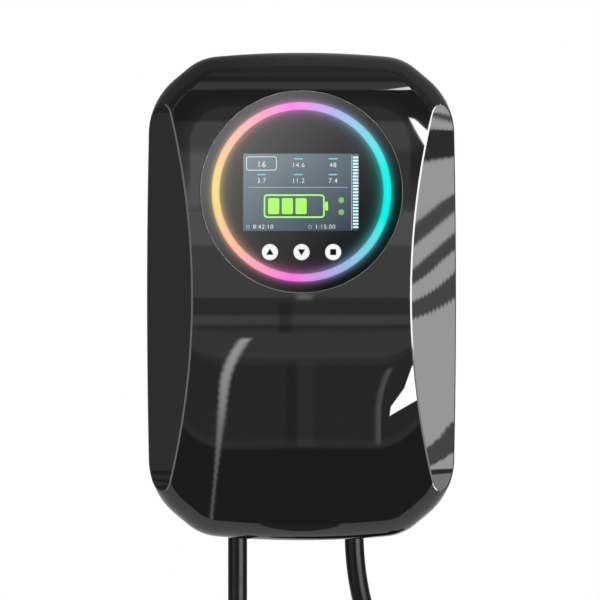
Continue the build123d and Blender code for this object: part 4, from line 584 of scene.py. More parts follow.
def circuit_board():
    """Green solder resist over copper tracks, with plated holes."""
    material, tree, shader, place = new_finish("board_green")
    parts = tree.split(place)
    flat = tree.add("ShaderNodeCombineXYZ", {"X": parts["X"], "Y": parts["Z"], "Z": 0.0}).outputs[0]
    tracks = tree.add("ShaderNodeTexBrick", {
        "Vector": flat, "Scale": 55.0, "Mortar Size": 0.035, "Mortar Smooth": 0.3, "Brick Width": 0.9,
        "Row Height": 0.22,
    }, offset=0.37, squash=0.6, squash_frequency=3)
    holes = tree.add("ShaderNodeTexVoronoi", {"Vector": flat, "Scale": 260.0, "Randomness": 0.85})
    hole = tree.soft_step(holes.outputs["Distance"], 0.10, 0.15, 1.0, 0.0)
    resist = tree.mix(tracks.outputs["Fac"], (0.010, 0.105, 0.040), (0.018, 0.190, 0.075))
    tree.set(shader.inputs["Base Color"], tree.mix(hole, resist, (0.75, 0.72, 0.62)))
    tree.set(shader.inputs["Metallic"], hole)
    tree.set(shader.inputs["Roughness"], marked_roughness(tree, place, 0.28, 0.40, 30.0))
    add_bump(tree, shader, tracks.outputs["Fac"], 0.00004)
    return material


def laminated_iron():
    """Stacked iron sheets, seen as fine lines from front to back."""
    material, tree, shader, place = new_finish("core_iron")
    parts = tree.split(place)
    sheets = tree.fraction(tree.over(parts["Y"], 0.0005))
    groove = tree.soft_step(tree.absolute(tree.minus(sheets, 0.5)), 0.32, 0.5)
    rust = drift_colour(tree, place, (0.20, 0.19, 0.185), 80.0, 0.35)
    tree.set(shader.inputs["Base Color"], tree.mix(groove, rust, (0.05, 0.045, 0.04)))
    shader.inputs["Metallic"].default_value = 0.85
    tree.set(shader.inputs["Roughness"], marked_roughness(tree, place, 0.42, 0.60, 70.0))
    add_bump(tree, shader, tree.minus(1.0, groove), 0.00012)
    return material


def wound_tape():
    """Amber insulating tape with lapped edges."""
    material, tree, shader, place = new_finish("winding_tape")
    parts = tree.split(place)
    laps = tree.fraction(tree.over(parts["Z"], 0.0042))
    edge = tree.soft_step(laps, 0.0, 0.12)
    tape = drift_colour(tree, place, (0.62, 0.40, 0.06), 60.0, 0.2)
    tree.set(shader.inputs["Base Color"], tree.mix(edge, (0.30, 0.17, 0.02), tape))
    tree.set(shader.inputs["Roughness"], marked_roughness(tree, place, 0.22, 0.34, 50.0))
    add_bump(tree, shader, laps, 0.0001)
    return material


def capacitor_sleeve():
    """Shrunk sleeve with a pale stripe down one side and a plain metal end."""
    material, tree, shader, place = new_finish("sleeve_black")
    parts = tree.split(place)
    end = tree.soft_step(parts["Y"], -0.0530, -0.0525, 1.0, 0.0)
    stripe = tree.band(tree.fraction(tree.over(parts["X"], 0.020)), 0.33, 0.42, 0.01)
    below = tree.soft_step(parts["Z"], 0.0275, 0.0290, 1.0, 0.0)
    sleeve = tree.mix(tree.times(stripe, below), (0.018, 0.020, 0.045), (0.55, 0.57, 0.62))
    tree.set(shader.inputs["Base Color"], tree.mix(end, sleeve, (0.62, 0.62, 0.62)))
    tree.set(shader.inputs["Metallic"], end)
    tree.set(shader.inputs["Roughness"], marked_roughness(tree, place, 0.20, 0.32, 60.0))
    ripple = tree.add("ShaderNodeTexNoise", {"Vector": place, "Scale": 300.0, "Detail": 2.0})
    add_bump(tree, shader, ripple.outputs["Fac"], 0.00004)
    return material


CORE_BROWN = (0.115, 0.042, 0.018)
CORE_BLUE = (0.018, 0.085, 0.340)
CORE_GREEN = (0.030, 0.300, 0.060)
CORE_YELLOW = (0.720, 0.560, 0.040)
CORE_ORANGE = (0.760, 0.230, 0.030)


def earth_stripes(tree, place):
    """Green and yellow, wound round the core in long slanting stripes."""
    parts = tree.split(place)
    slant = tree.plus(parts["X"], tree.times(parts["Z"], 0.35))
    share = tree.fraction(tree.over(slant, 0.0046))
    return tree.mix(tree.band(share, 0.2, 0.6, 0.02), CORE_GREEN, CORE_YELLOW)


def inner_cores(name, centre, order):
    """Insulation of the cores inside the box: each core's colour goes by its place in the fan."""
    material, tree, shader, place = new_finish(name)
    parts = tree.split(place)
    pitch = tree.soft_step(parts["Z"], -0.1219, -0.1075, 0.0023, 0.0120)
    slot = tree.over(tree.minus(parts["X"], centre), pitch)
    colour = order[0] if order[0] != "earth" else earth_stripes(tree, place)
    for number, following in enumerate(order[1:]):
        limit = number + 1 - len(order) / 2
        past = tree.soft_step(slot, limit - 0.02, limit + 0.02)
        colour = tree.mix(past, colour, following if following != "earth" else earth_stripes(tree, place))
    finish_core(tree, shader, place, colour)
    return material


def tail_cores():
    """Insulation of the bare end's three cores, told apart by their place round the lead."""
    material, tree, shader, place = new_finish("tail_core_insulation")
    parts = tree.split(place)
    lean = tree.times(tree.plus(parts["Z"], 0.572), 0.072)
    across = tree.minus(tree.plus(parts["X"], 0.060), lean)
    side = tree.soft_step(across, -0.0002, 0.0002)
    live = tree.mix(side, CORE_BROWN, CORE_BLUE)
    behind = tree.soft_step(parts["Y"], -0.0285, -0.0281)
    finish_core(tree, shader, place, tree.mix(behind, live, earth_stripes(tree, place)))
    return material


def finish_core(tree, shader, place, colour):
    tree.set(shader.inputs["Base Color"], drift_colour(tree, place, colour, 70.0, 0.15))
    tree.set(shader.inputs["Roughness"], marked_roughness(tree, place, 0.30, 0.42, 60.0))
    ripple = tree.add("ShaderNodeTexNoise", {"Vector": place, "Scale": 500.0, "Detail": 2.0})
    add_bump(tree, shader, ripple.outputs["Fac"], 0.00003)


def flat_ribbon():
    """Grey flat cable: one groove between each pair of wires, and one red edge wire."""
    material, tree, shader, place = new_finish("ribbon_grey")
    parts = tree.split(place)
    wires = tree.absolute(tree.sine(tree.times(parts["X"], math.pi / 0.00127)))
    edge = tree.soft_step(parts["X"], -0.0110, -0.0108, 1.0, 0.0)
    grey = drift_colour(tree, place, (0.42, 0.42, 0.43), 60.0, 0.12)
    tree.set(shader.inputs["Base Color"], tree.mix(edge, grey, (0.50, 0.03, 0.02)))
    tree.set(shader.inputs["Roughness"], marked_roughness(tree, place, 0.38, 0.50, 50.0))
    add_bump(tree, shader, wires, 0.0002)
    return material


def cable_sheath(colour):
    """Satin rubber sheath with faint wiping marks and a fine skin."""
    material, tree, shader, place = new_finish("lead_sheath")
    tree.set(shader.inputs["Base Color"], drift_colour(tree, place, tuple(colour), 25.0, 0.25))
    tree.set(shader.inputs["Roughness"], marked_roughness(tree, place, 0.20, 0.28, 35.0))
    grain = tree.group(effect("moulded_grain"), Vector=place, Scale=2600.0, Depth=1.0)["Height"]
    add_bump(tree, shader, grain, 0.00001)
    shader.inputs["Specular IOR Level"].default_value = 0.09
    return material


def woven_strap(colour):
    """Hook-and-loop webbing, woven along the piece's own UV map, which is in metres, with painted shade in the low
    parts of the weave.
    """
    material, tree, shader, place = new_finish("tie_fabric")
    cloth = tree.add("ShaderNodeTexCoord").outputs["UV"]
    weave = tree.group(effect("woven_tape"), Vector=cloth, Pitch=0.0009)
    worn = drift_colour(tree, place, tuple(colour), 90.0, 0.35)
    dark = tuple(0.45 * share for share in colour)
    # Painted shade: the colour goes darker where the weave lies low between the ribs.
    tree.set(shader.inputs["Base Color"], tree.mix(weave["Shade"], dark, worn))
    tree.set(shader.inputs["Roughness"], marked_roughness(tree, place, 0.82, 0.95, 80.0))
    shader.inputs["Sheen Weight"].default_value = 0.35
    shader.inputs["Sheen Roughness"].default_value = 0.5
    add_bump(tree, shader, weave["Height"], 0.00018)
    return material


def dress(material, *nodes):
    """Gives CAD nodes a material through their objects' slots."""
    for node in nodes:
        for slot in bpy.data.objects[node].material_slots:
            slot.material = material


def finish_piece(name, mesh, material, body=BOX_BODY):
    """Makes a finished mesh a piece that rides a body."""
    piece = bpy.data.objects.new(name, mesh)
    bpy.context.scene.collection.objects.link(piece)
    piece.data.materials.append(material)
    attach(piece, body)
    return piece


def mesh_from(name, bm):
    mesh = bpy.data.meshes.new(name)
    bm.to_mesh(mesh)
    bm.free()
    return mesh


# Cords


def lay_cord(name, route, diameter, material):
    """A cord along a smooth spline with the route's points as its control points."""
    curve = bpy.data.curves.new(name, "CURVE")
    curve.dimensions = "3D"
    curve.resolution_u = 8
    curve.bevel_depth = diameter / 2
    curve.bevel_resolution = 6
    curve.use_fill_caps = True
    spline = curve.splines.new("NURBS")
    spline.points.add(len(route) - 1)
    for point, place in zip(spline.points, route):
        point.co = (*place, 1.0)
    spline.order_u = 3
    spline.use_endpoint_u = True
    return finish_piece(name, curve, material)


def coil_place(turned, diameter):
    """Where the cord lies after it has turned by some degrees: it steps from one cell of the bundle to the next."""
    passed = (turned - FIRST_CHANGE) / CELL_RUN
    number = min(max(math.floor(passed), -1), len(COIL_CELLS) - 2)
    share = min(max((turned - FIRST_CHANGE - number * CELL_RUN) / CELL_CHANGE, 0.0), 1.0) if number >= 0 else 0.0
    share = share * share * (3 - 2 * share)
    layer, column = COIL_CELLS[max(number, 0)]
    next_layer, next_column = COIL_CELLS[max(number, 0) + 1]
    layer += (next_layer - layer) * share
    column += (next_column - column) * share
    radius = COIL_INNER_RADIUS + layer * diameter
    angle = math.radians(COIL_START_ANGLE - turned)
    depth = (column - (COIL_COLUMNS - 1) / 2) * diameter
    return COIL_CENTRE + Vector((radius * math.cos(angle), depth, radius * math.sin(angle)))


def coil_route(diameter):
    turns = [coil_place(step, diameter) for step in range(0, COIL_TURNED - COIL_STEP // 2, COIL_STEP)]
    return turns + [coil_place(COIL_TURNED, diameter)]


class WALLBOX_OT_supply_lead(bpy.types.Operator):
    """Lay the supply lead, from its gland down to its bare cores"""

    bl_idname = "wallbox.supply_lead"
    bl_label = "Supply lead"

    def execute(self, context):
        diameter = context.scene.wallbox_sizes.cable_diameter
        lead = lay_cord("supply_cable", SUPPLY_ROUTE, diameter, sheath_finish(context))
        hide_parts("supply_lead")
        return {"FINISHED"}


class WALLBOX_OT_charging_lead(bpy.types.Operator):
    """Lay the charging lead: down from its gland, round the coil and into the connector's boot"""

    bl_idname = "wallbox.charging_lead"
    bl_label = "Charging lead"

    def execute(self, context):
        diameter = context.scene.wallbox_sizes.cable_diameter
        route = [CHARGING_START, CHARGING_EXIT, *CHARGING_ROUTE, *coil_route(diameter), *TAIL_ROUTE]
        lead = lay_cord("charging_cable", route, diameter, sheath_finish(context))
        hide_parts("charging_lead", "lead_coil", "lead_tail")
        return {"FINISHED"}


def sheath_finish(context):
    return bpy.data.materials.get("lead_sheath") or cable_sheath(context.scene.wallbox_colours.sheath)


# Straps


def strap_band(angle, width):
    """A band of webbing round the bundle, its own UV map running along and across it in metres."""
    bm = bmesh.new()
    girth = bm.verts.layers.float.new("girth")
    bmesh.ops.create_grid(bm, x_segments=1, y_segments=1, size=0.5)
    bmesh.ops.scale(bm, vec=(BUNDLE_RADIAL, BUNDLE_AXIAL, 1.0), verts=bm.verts)
    bmesh.ops.bevel(
        bm, geom=bm.verts[:], offset=BUNDLE_CORNER, segments=7, affect="VERTICES", profile=0.5, material=-1
    )
    bmesh.ops.delete(bm, geom=bm.faces[:], context="FACES_ONLY")
    walk_round(bm, girth)
    bmesh.ops.translate(bm, vec=(STRAP_MIDDLE_RADIUS, 0.0, 0.0), verts=bm.verts)
    spread = width / STRAP_MIDDLE_RADIUS
    bmesh.ops.spin(
        bm, geom=bm.edges[:] + bm.verts[:], cent=(0.0, 0.0, 0.0), axis=(0.0, 1.0, 0.0), dvec=(0.0, 0.0, 0.0),
        angle=spread, steps=6, use_merge=False, use_duplicate=False,
    )
    bmesh.ops.rotate(bm, verts=bm.verts, cent=(0, 0, 0), matrix=Matrix.Rotation(-spread / 2, 3, "Y"))
    bmesh.ops.recalc_face_normals(bm, faces=bm.faces)
    uv = bm.loops.layers.uv.new("webbing")
    round_length = 2 * (BUNDLE_RADIAL + BUNDLE_AXIAL) - (8 - math.tau) * BUNDLE_CORNER
    for face in bm.faces:
        places = [loop.vert[girth] for loop in face.loops]
        for loop, place in zip(face.loops, places):
            seam = round_length if max(places) - place > round_length / 2 else 0.0
            across = math.atan2(loop.vert.co.z, loop.vert.co.x) * STRAP_MIDDLE_RADIUS
            loop[uv].uv = (place + seam, across)
    move_to_bundle(bm, angle)
    return bm


def move_to_bundle(bm, angle):
    """Turns a part of a strap to its angle and moves it to the coil."""
    bmesh.ops.rotate(bm, verts=bm.verts, cent=(0, 0, 0), matrix=Matrix.Rotation(-math.radians(angle), 3, "Y"))
    bmesh.ops.translate(bm, vec=COIL_CENTRE, verts=bm.verts)


def make_webbing(name, bm, thickness, fabric):
    """Makes a flat mesh a piece of webbing with soft edges."""
    piece = finish_piece(name, mesh_from(name, bm), fabric)
    wall = piece.modifiers.new("webbing", "SOLIDIFY")
    wall.thickness = thickness
    wall.offset = 1.0
    edges = piece.modifiers.new("edges", "BEVEL")
    edges.width = thickness * 0.3
    edges.segments = 2
    edges.limit_method = "ANGLE"
    return piece


def walk_round(bm, layer):
    """Writes each vertex's distance along a closed loop of edges."""
    bm.verts.ensure_lookup_table()
    vertex, came, distance = bm.verts[0], None, 0.0
    for _ in range(len(bm.verts)):
        vertex[layer] = distance
        edge = next(edge for edge in vertex.link_edges if edge != came)
        distance += edge.calc_length()
        vertex, came = edge.other_vert(vertex), edge


class WALLBOX_OT_straps(bpy.types.Operator):
    """Wrap the woven straps round the coil"""

    bl_idname = "wallbox.straps"
    bl_label = "Coil straps"

    def execute(self, context):
        sizes = context.scene.wallbox_sizes
        fabric = woven_strap(context.scene.wallbox_colours.strap)
        for number, angle in enumerate(STRAP_ANGLES, 1):
            band = strap_band(angle, sizes.strap_width)
            make_webbing(f"coil_strap_{number}", band, sizes.strap_thickness, fabric)
            end = strap_end(angle, sizes.strap_width, sizes.strap_thickness)
            make_webbing(f"coil_strap_end_{number}", end, sizes.strap_thickness, fabric)
        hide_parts("coil_ties")
        return {"FINISHED"}


def strap_end(angle, width, thickness):
    """The strap's free end, pressed flat on the band at the front of the bundle, with a rounded tip."""
    length = BUNDLE_RADIAL * 0.8
    bm = bmesh.new()
    bmesh.ops.create_grid(bm, x_segments=1, y_segments=1, size=0.5)
    bmesh.ops.scale(bm, vec=(length, width, 1.0), verts=bm.verts)
    tip = [vertex for vertex in bm.verts if vertex.co.x > 0]
    bmesh.ops.bevel(
        bm, geom=tip, offset=width * 0.32, segments=6, affect="VERTICES", profile=0.5, material=-1
    )
    uv = bm.loops.layers.uv.new("webbing")
    for face in bm.faces:
        for loop in face.loops:
            loop[uv].uv = loop.vert.co.xy
    bmesh.ops.rotate(bm, verts=bm.verts, cent=(0, 0, 0), matrix=Matrix.Rotation(math.radians(90), 3, "X"))
    front = -BUNDLE_AXIAL / 2 - thickness
    bmesh.ops.translate(bm, vec=(STRAP_MIDDLE_RADIUS, front, 0.0), verts=bm.verts)
    move_to_bundle(bm, angle)
    return bm


# Flat signs


STROKE_THINNING = 0.00007


class SignSheet:
    """Flat shapes drawn in the front view (x across, y up, in metres) and made one thin mesh."""

    def __init__(self):
        self.bm = bmesh.new()

    def keep(self, verts, place):
        bmesh.ops.translate(self.bm, vec=(*place, 0.0), verts=verts)

    def outline(self, corners, radius=0.0, stroke=0.0, place=(0.0, 0.0)):
        """A shape through corners, rounded by a radius, filled or drawn as a line of the stroke's width."""
        verts = [self.bm.verts.new((*corner, 0.0)) for corner in corners]
        face = self.bm.faces.new(verts)
        if radius:
            made = bmesh.ops.bevel(
                self.bm, geom=verts, offset=radius, segments=5, affect="VERTICES", profile=0.5, material=-1
            )
            verts = list({vertex for face in made["faces"] for vertex in face.verts}) or made["verts"]
            face = next(iter(verts[0].link_faces))
        self.hollow(face, stroke)
        self.keep(self.island(verts), place)

    def island(self, verts):
        """Every vertex joined to some of a shape's vertices."""
        found, waiting = set(), [vertex for vertex in verts if vertex.is_valid]
        while waiting:
            vertex = waiting.pop()
            if vertex not in found:
                found.add(vertex)
                waiting.extend(edge.other_vert(vertex) for edge in vertex.link_edges)
        return list(found)

    def hollow(self, face, stroke):
        if stroke:
            bmesh.ops.inset_region(
                self.bm, faces=[face], thickness=stroke, use_even_offset=True, use_boundary=True
            )
            bmesh.ops.delete(self.bm, geom=[face], context="FACES_ONLY")

    def box(self, width, height, place, radius=0.0, stroke=0.0):
        x, y = width / 2, height / 2
        self.outline(((-x, -y), (x, -y), (x, y), (-x, y)), radius, stroke, place)

    def disc(self, radius, place, stroke=0.0, segments=32):
        made = bmesh.ops.create_circle(self.bm, cap_ends=True, radius=radius, segments=segments)["verts"]
        face = next(iter(made[0].link_faces))
        self.hollow(face, stroke)
        self.keep(self.island(made), place)

    def numbers(self, text, height, place):
        """Plain numbers as filled outlines, with strokes made thinner on both sides."""
        curve = bpy.data.curves.new("numbers", "FONT")
        curve.body = text
        curve.size = height
        curve.align_x = "CENTER"
        curve.align_y = "CENTER"
        curve.resolution_u = 3
        curve.offset = -STROKE_THINNING
        curve.space_character = 1.12
        writing = bpy.data.objects.new("numbers", curve)
        mesh = bpy.data.meshes.new_from_object(writing)
        before = set(self.bm.verts)
        self.bm.from_mesh(mesh)
        self.keep([vertex for vertex in self.bm.verts if vertex not in before], place)
        bpy.data.objects.remove(writing)
        bpy.data.curves.remove(curve)
        bpy.data.meshes.remove(mesh)

    def finish(self, name, centre, thickness):
        """Stands the sheet up facing the front, gives it a thickness forwards and puts it in its place."""
        bm = self.bm
        bmesh.ops.remove_doubles(bm, verts=bm.verts, dist=0.000001)
        bmesh.ops.rotate(bm, verts=bm.verts, cent=(0, 0, 0), matrix=Matrix.Rotation(math.radians(90), 3, "X"))
        made = bmesh.ops.extrude_face_region(bm, geom=bm.faces[:], use_keep_orig=True)["geom"]
        front = [part for part in made if isinstance(part, bmesh.types.BMVert)]
        bmesh.ops.translate(bm, vec=(0.0, -thickness, 0.0), verts=front)
        bmesh.ops.recalc_face_normals(bm, faces=bm.faces)
        bmesh.ops.translate(bm, vec=centre, verts=bm.verts)
        return mesh_from(name, bm)


class WALLBOX_OT_display_print(bpy.types.Operator):
    """Print the black mask behind the display glass, with its windows for ring, screen and buttons"""

    bl_idname = "wallbox.display_print"
    bl_label = "Display print"

    def execute(self, context):
        centre = Vector((0.0, MASK_DEPTH + MASK_THICKNESS / 2, DISC_CENTRE.z))
        curve = bpy.data.curves.new("display_print", "CURVE")
        curve.dimensions = "2D"
        curve.fill_mode = "BOTH"
        curve.resolution_u = 24
        curve.extrude = MASK_THICKNESS / 2
        for radius in (MASK_RADIUS, RING_OUTER_RADIUS, RING_INNER_RADIUS):
            ring_spline(curve, radius, (0.0, 0.0))
        for offset in BUTTON_OFFSETS.values():
            ring_spline(curve, BUTTON_WINDOW_RADIUS, (offset, BUTTON_HEIGHT - DISC_CENTRE.z))
        window_spline(curve, SCREEN_WIDTH, SCREEN_HEIGHT, (SCREEN_CENTRE.x, SCREEN_CENTRE.z - DISC_CENTRE.z))
        flat = bpy.data.objects.new("display_print", curve)
        mesh = bpy.data.meshes.new_from_object(flat)
        bpy.data.objects.remove(flat)
        mesh.transform(Matrix.Translation(centre) @ Matrix.Rotation(math.radians(90), 4, "X"))
        finish_piece("display_print", mesh, printed_mask())
        return {"FINISHED"}


def ring_spline(curve, radius, place):
    """A circle of four points on a flat curve."""
    spline = curve.splines.new("BEZIER")
    spline.bezier_points.add(3)
    reach = radius * 4 / 3 * math.tan(math.pi / 8)
    for point, quarter in zip(spline.bezier_points, range(4)):
        angle = quarter * math.pi / 2
        out = Vector((math.cos(angle), math.sin(angle), 0.0))
        along = Vector((-out.y, out.x, 0.0))
        point.co = Vector((*place, 0.0)) + out * radius
        point.handle_left = point.co - along * reach
        point.handle_right = point.co + along * reach
    spline.use_cyclic_u = True


def window_spline(curve, width, height, place):
    """A rectangle on a flat curve."""
    spline = curve.splines.new("POLY")
    spline.points.add(3)
    x, y = width / 2, height / 2
    for point, corner in zip(spline.points, ((-x, -y), (x, -y), (x, y), (-x, y))):
        point.co = (place[0] + corner[0], place[1] + corner[1], 0.0, 1.0)
    spline.use_cyclic_u = True


class WALLBOX_OT_screen_picture(bpy.types.Operator):
    """Draw the screen's picture: a level gauge, a battery and plain numbers"""

    bl_idname = "wallbox.screen_picture"
    bl_label = "Screen picture"

    def execute(self, context):
        bars = context.scene.wallbox_sizes.screen_bars
        finish_sheet("screen_gauge", draw_gauge(bars), "screen_cyan", (0.58, 0.90, 0.98))
        finish_sheet("screen_labels", draw_labels(), "screen_teal", (0.22, 0.55, 0.62))
        finish_sheet("screen_numbers", draw_numbers(), "screen_white", (0.86, 0.88, 0.90))
        finish_sheet("screen_battery", draw_battery(), "screen_lime", (0.36, 0.95, 0.12))
        finish_sheet("screen_lines", draw_lines(), "screen_line", (0.52, 0.58, 0.62))
        return {"FINISHED"}


def finish_sheet(name, sheet, finish, colour):
    mesh = sheet.finish(name, SCREEN_CENTRE, SCREEN_LAYER)
    finish_piece(name, mesh, lit_sign(finish, colour))


# Screen picture: places and sizes in millimetres from the screen's middle
GAUGE_PLACE = 39.3
GAUGE_BAR = (4.0, 1.45)
GAUGE_HEIGHT = 52.6
VALUE_COLUMNS = (-28.6, -2.0, 23.0)
VALUE_ROWS = (19.6, 8.2)
VALUE_SIZE = 4.9
VALUES = (("14.6", 1, 0), ("48", 2, 0), ("3.7", 0, 1), ("11.2", 1, 1), ("7.4", 2, 1))
RULE = (6.4, 0.9)
RULE_RISE = 4.6
BOXED_VALUE = ("16", 6.4, 20.0)
BOX_SIZE = (22.0, 10.0)
BOX_HEIGHT = 20.8
TIME_ROW = -25.0
TIME_SIZE = 4.5
TIMES = (("0:42:10", -27.4), ("1:15:00", 17.4))
TIME_DOTS = (-38.4, 6.4)
BATTERY_PLACE = (-5.0, -10.0)
BATTERY_SIZE = (44.0, 17.0)
CELL_SIZE = (8.0, 11.4)
CELL_PITCH = 9.9
STATE_DOTS = ((29.0, -5.6), (29.0, -14.4))


def draw_gauge(bars):
    sheet = SignSheet()
    pitch = GAUGE_HEIGHT / bars
    for number in range(bars):
        height = (number + 0.5) * pitch - GAUGE_HEIGHT / 2
        sheet.box(GAUGE_BAR[0] * MM, GAUGE_BAR[1] * MM, (GAUGE_PLACE * MM, height * MM))
    return sheet


def draw_labels():
    """Short rules that head the values, and a dot before each time."""
    sheet = SignSheet()
    for _, column, row in VALUES:
        place = (VALUE_COLUMNS[column] * MM, (VALUE_ROWS[row] + RULE_RISE) * MM)
        sheet.box(RULE[0] * MM, RULE[1] * MM, place, 0.4 * MM)
    for place in TIME_DOTS:
        sheet.disc(1.35 * MM, (place * MM, TIME_ROW * MM), 0.35 * MM, 24)
    return sheet


def draw_numbers():
    sheet = SignSheet()
    for text, place in TIMES:
        sheet.numbers(text, TIME_SIZE * MM, (place * MM, TIME_ROW * MM))
    for text, column, row in VALUES:
        sheet.numbers(text, VALUE_SIZE * MM, (VALUE_COLUMNS[column] * MM, VALUE_ROWS[row] * MM))
    text, size, height = BOXED_VALUE
    sheet.numbers(text, size * MM, (VALUE_COLUMNS[0] * MM, height * MM))
    sheet.box(BOX_SIZE[0] * MM, BOX_SIZE[1] * MM, (VALUE_COLUMNS[0] * MM, BOX_HEIGHT * MM), 1.8 * MM, 0.4 * MM)
    return sheet


def draw_lines():
    """Lines between the values, the gauge and the battery."""
    sheet = SignSheet()
    sheet.box(0.3 * MM, 54.0 * MM, (36.4 * MM, 0.0))
    sheet.box(72.0 * MM, 0.3 * MM, (-2.0 * MM, 3.6 * MM))
    return sheet


def draw_battery():
    """A plain battery with three full cells and room for a fourth, and two dots."""
    sheet = SignSheet()
    x, y = BATTERY_PLACE
    sheet.box(BATTERY_SIZE[0] * MM, BATTERY_SIZE[1] * MM, (x * MM, y * MM), 2.6 * MM, 1.1 * MM)
    sheet.box(2.0 * MM, 6.4 * MM, ((x + 23.4) * MM, y * MM), 0.6 * MM)
    for cell in range(3):
        place = ((x - 14.8 + cell * CELL_PITCH) * MM, y * MM)
        sheet.box(CELL_SIZE[0] * MM, CELL_SIZE[1] * MM, place, 1.0 * MM)
    for x, y in STATE_DOTS:
        sheet.disc(1.9 * MM, (x * MM, y * MM), 0.45 * MM, 24)
        sheet.disc(0.7 * MM, (x * MM, y * MM), 0.0, 16)
    return sheet


class WALLBOX_OT_button_signs(bpy.types.Operator):
    """Print the signs on the push button caps"""

    bl_idname = "wallbox.button_signs"
    bl_label = "Button signs"

    def execute(self, context):
        size = context.scene.wallbox_sizes.icon_size
        x, y, side = size * 0.54, size * 0.40, size * 0.43
        signs = {
            "up": ((-x, -y), (x, -y), (0.0, size * 0.5)),
            "down": ((x, y), (-x, y), (0.0, -size * 0.5)),
            "stop": ((-side, -side), (side, -side), (side, side), (-side, side)),
        }
        ink = moulded("sign_ink", (0.003, 0.003, 0.0032), 0.45, 0.6, 4000.0, 0.000004)
        ink.node_tree.nodes["Principled BSDF"].inputs["Specular IOR Level"].default_value = 0.05
        for button, corners in signs.items():
            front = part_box(f"button_{button}")[0][1]
            sheet = SignSheet()
            sheet.outline(corners, size * 0.05)
            centre = Vector((BUTTON_OFFSETS[button], front + 0.00002, BUTTON_HEIGHT))
            mesh = sheet.finish(f"button_{button}_sign", centre, 0.00006)
            finish_piece(mesh.name, mesh, ink, BUTTON_BODIES[button])
        return {"FINISHED"}


# Finishes of the CAD nodes


class WALLBOX_OT_case_finishes(bpy.types.Operator):
    """Finish the cover, the housing, the bracket and their seals and screws"""

    bl_idname = "wallbox.case_finishes"
    bl_label = "Case finishes"

    def execute(self, context):
        colours = context.scene.wallbox_colours
        dress(polished_cover(colours.cover), "front_cover")
        dress(moulded("matte_black", colours.housing, 0.46, 0.60, 1400.0, 0.00012), "rear_housing",
              "display_carrier")
        dress(moulded("gasket_rubber", (0.016, 0.016, 0.016), 0.62, 0.78, 1800.0, 0.00006), "cover_gasket",
              "lens_gasket", "gland_washers", "gland_seals")
        dress(plated("plated_steel", (0.62, 0.63, 0.64), 0.26, 0.42, 70.0, 0.00002), "wall_bracket", "lcd_frame")
        dress(plated("screw_steel", (0.58, 0.58, 0.58), 0.22, 0.34, 300.0, 0.00001), "cover_screws", "lock_screw",
              "carrier_screws", "display_board_screws", "main_board_screws", "terminal_screws")
        return {"FINISHED"}


class WALLBOX_OT_display_finishes(bpy.types.Operator):
    """Finish the glass, the light ring, the screen and the buttons"""

    bl_idname = "wallbox.display_finishes"
    bl_label = "Display finishes"

    def execute(self, context):
        colours = context.scene.wallbox_colours
        dress(smoked_glass(), "display_glass")
        dress(lit_ring(), "light_guide", "ring_leds")
        dress(lit_panel(), "lcd_panel")
        dress(moulded("white_cap", colours.caps, 0.30, 0.38, 3000.0, 0.000008, 0.03), "button_up", "button_down",
              "button_stop")
        return {"FINISHED"}


class WALLBOX_OT_inner_finishes(bpy.types.Operator):
    """Finish the boards, their components and the wiring inside the box"""

    bl_idname = "wallbox.inner_finishes"
    bl_label = "Inner finishes"

    def execute(self, context):
        dress(circuit_board(), "main_board", "display_board")
        dress(moulded("part_blue", (0.030, 0.120, 0.420), 0.34, 0.46, 2200.0, 0.00004), "relays", "current_sensor")
        dress(laminated_iron(), "transformer_core")
        dress(wound_tape(), "transformer_winding")
        dress(capacitor_sleeve(), "capacitors")
        dress(fuse_glass(), "fuse")
        dress(plated("tinned_metal", (0.74, 0.74, 0.72), 0.24, 0.36, 200.0, 0.00001), "fuse_clips", "radio_module",
              "core_ferrules", "supply_tail_ferrules")
        dress(moulded("black_moulding", (0.020, 0.020, 0.021), 0.38, 0.52, 2600.0, 0.00003), "buzzer",
              "control_chip", "tact_switches", "ribbon_headers", "plunger_up", "plunger_down", "plunger_stop")
        dress(moulded("terminal_green", (0.020, 0.230, 0.085), 0.36, 0.48, 2200.0, 0.00004), "supply_terminal_block",
              "output_terminal_block")
        supply_order = (CORE_BROWN, CORE_BLUE, "earth")
        dress(inner_cores("supply_core_insulation", SUPPLY_EXIT[0], supply_order), "supply_cores")
        output_order = (CORE_BROWN, CORE_BLUE, "earth", CORE_ORANGE)
        dress(inner_cores("output_core_insulation", CHARGING_EXIT[0], output_order), "output_cores")
        dress(flat_ribbon(), "ribbon_cable")
        return {"FINISHED"}


class WALLBOX_OT_lead_finishes(bpy.types.Operator):
    """Finish the glands, the connector and the bare cores"""

    bl_idname = "wallbox.lead_finishes"
    bl_label = "Lead finishes"

    def execute(self, context):
        dress(moulded("gland_nylon", (0.020, 0.020, 0.021), 0.36, 0.50, 1800.0, 0.00004), "gland_bodies",
              "gland_lock_nuts", "gland_dome_nuts")
        dress(moulded("connector_plastic", (0.018, 0.018, 0.019), 0.42, 0.56, 1500.0, 0.0001), "connector_shell")
        dress(moulded("connector_rubber", (0.014, 0.014, 0.014), 0.58, 0.74, 1600.0, 0.00006), "connector_boot",
              "connector_cap")
        dress(moulded("insert_grey", (0.070, 0.070, 0.074), 0.40, 0.52, 2000.0, 0.00004), "connector_insert")
        dress(plated("contact_silver", (0.80, 0.79, 0.76), 0.18, 0.28, 400.0, 0.000005), "connector_contacts")
        dress(tail_cores(), "supply_tail_cores")
        return {"FINISHED"}


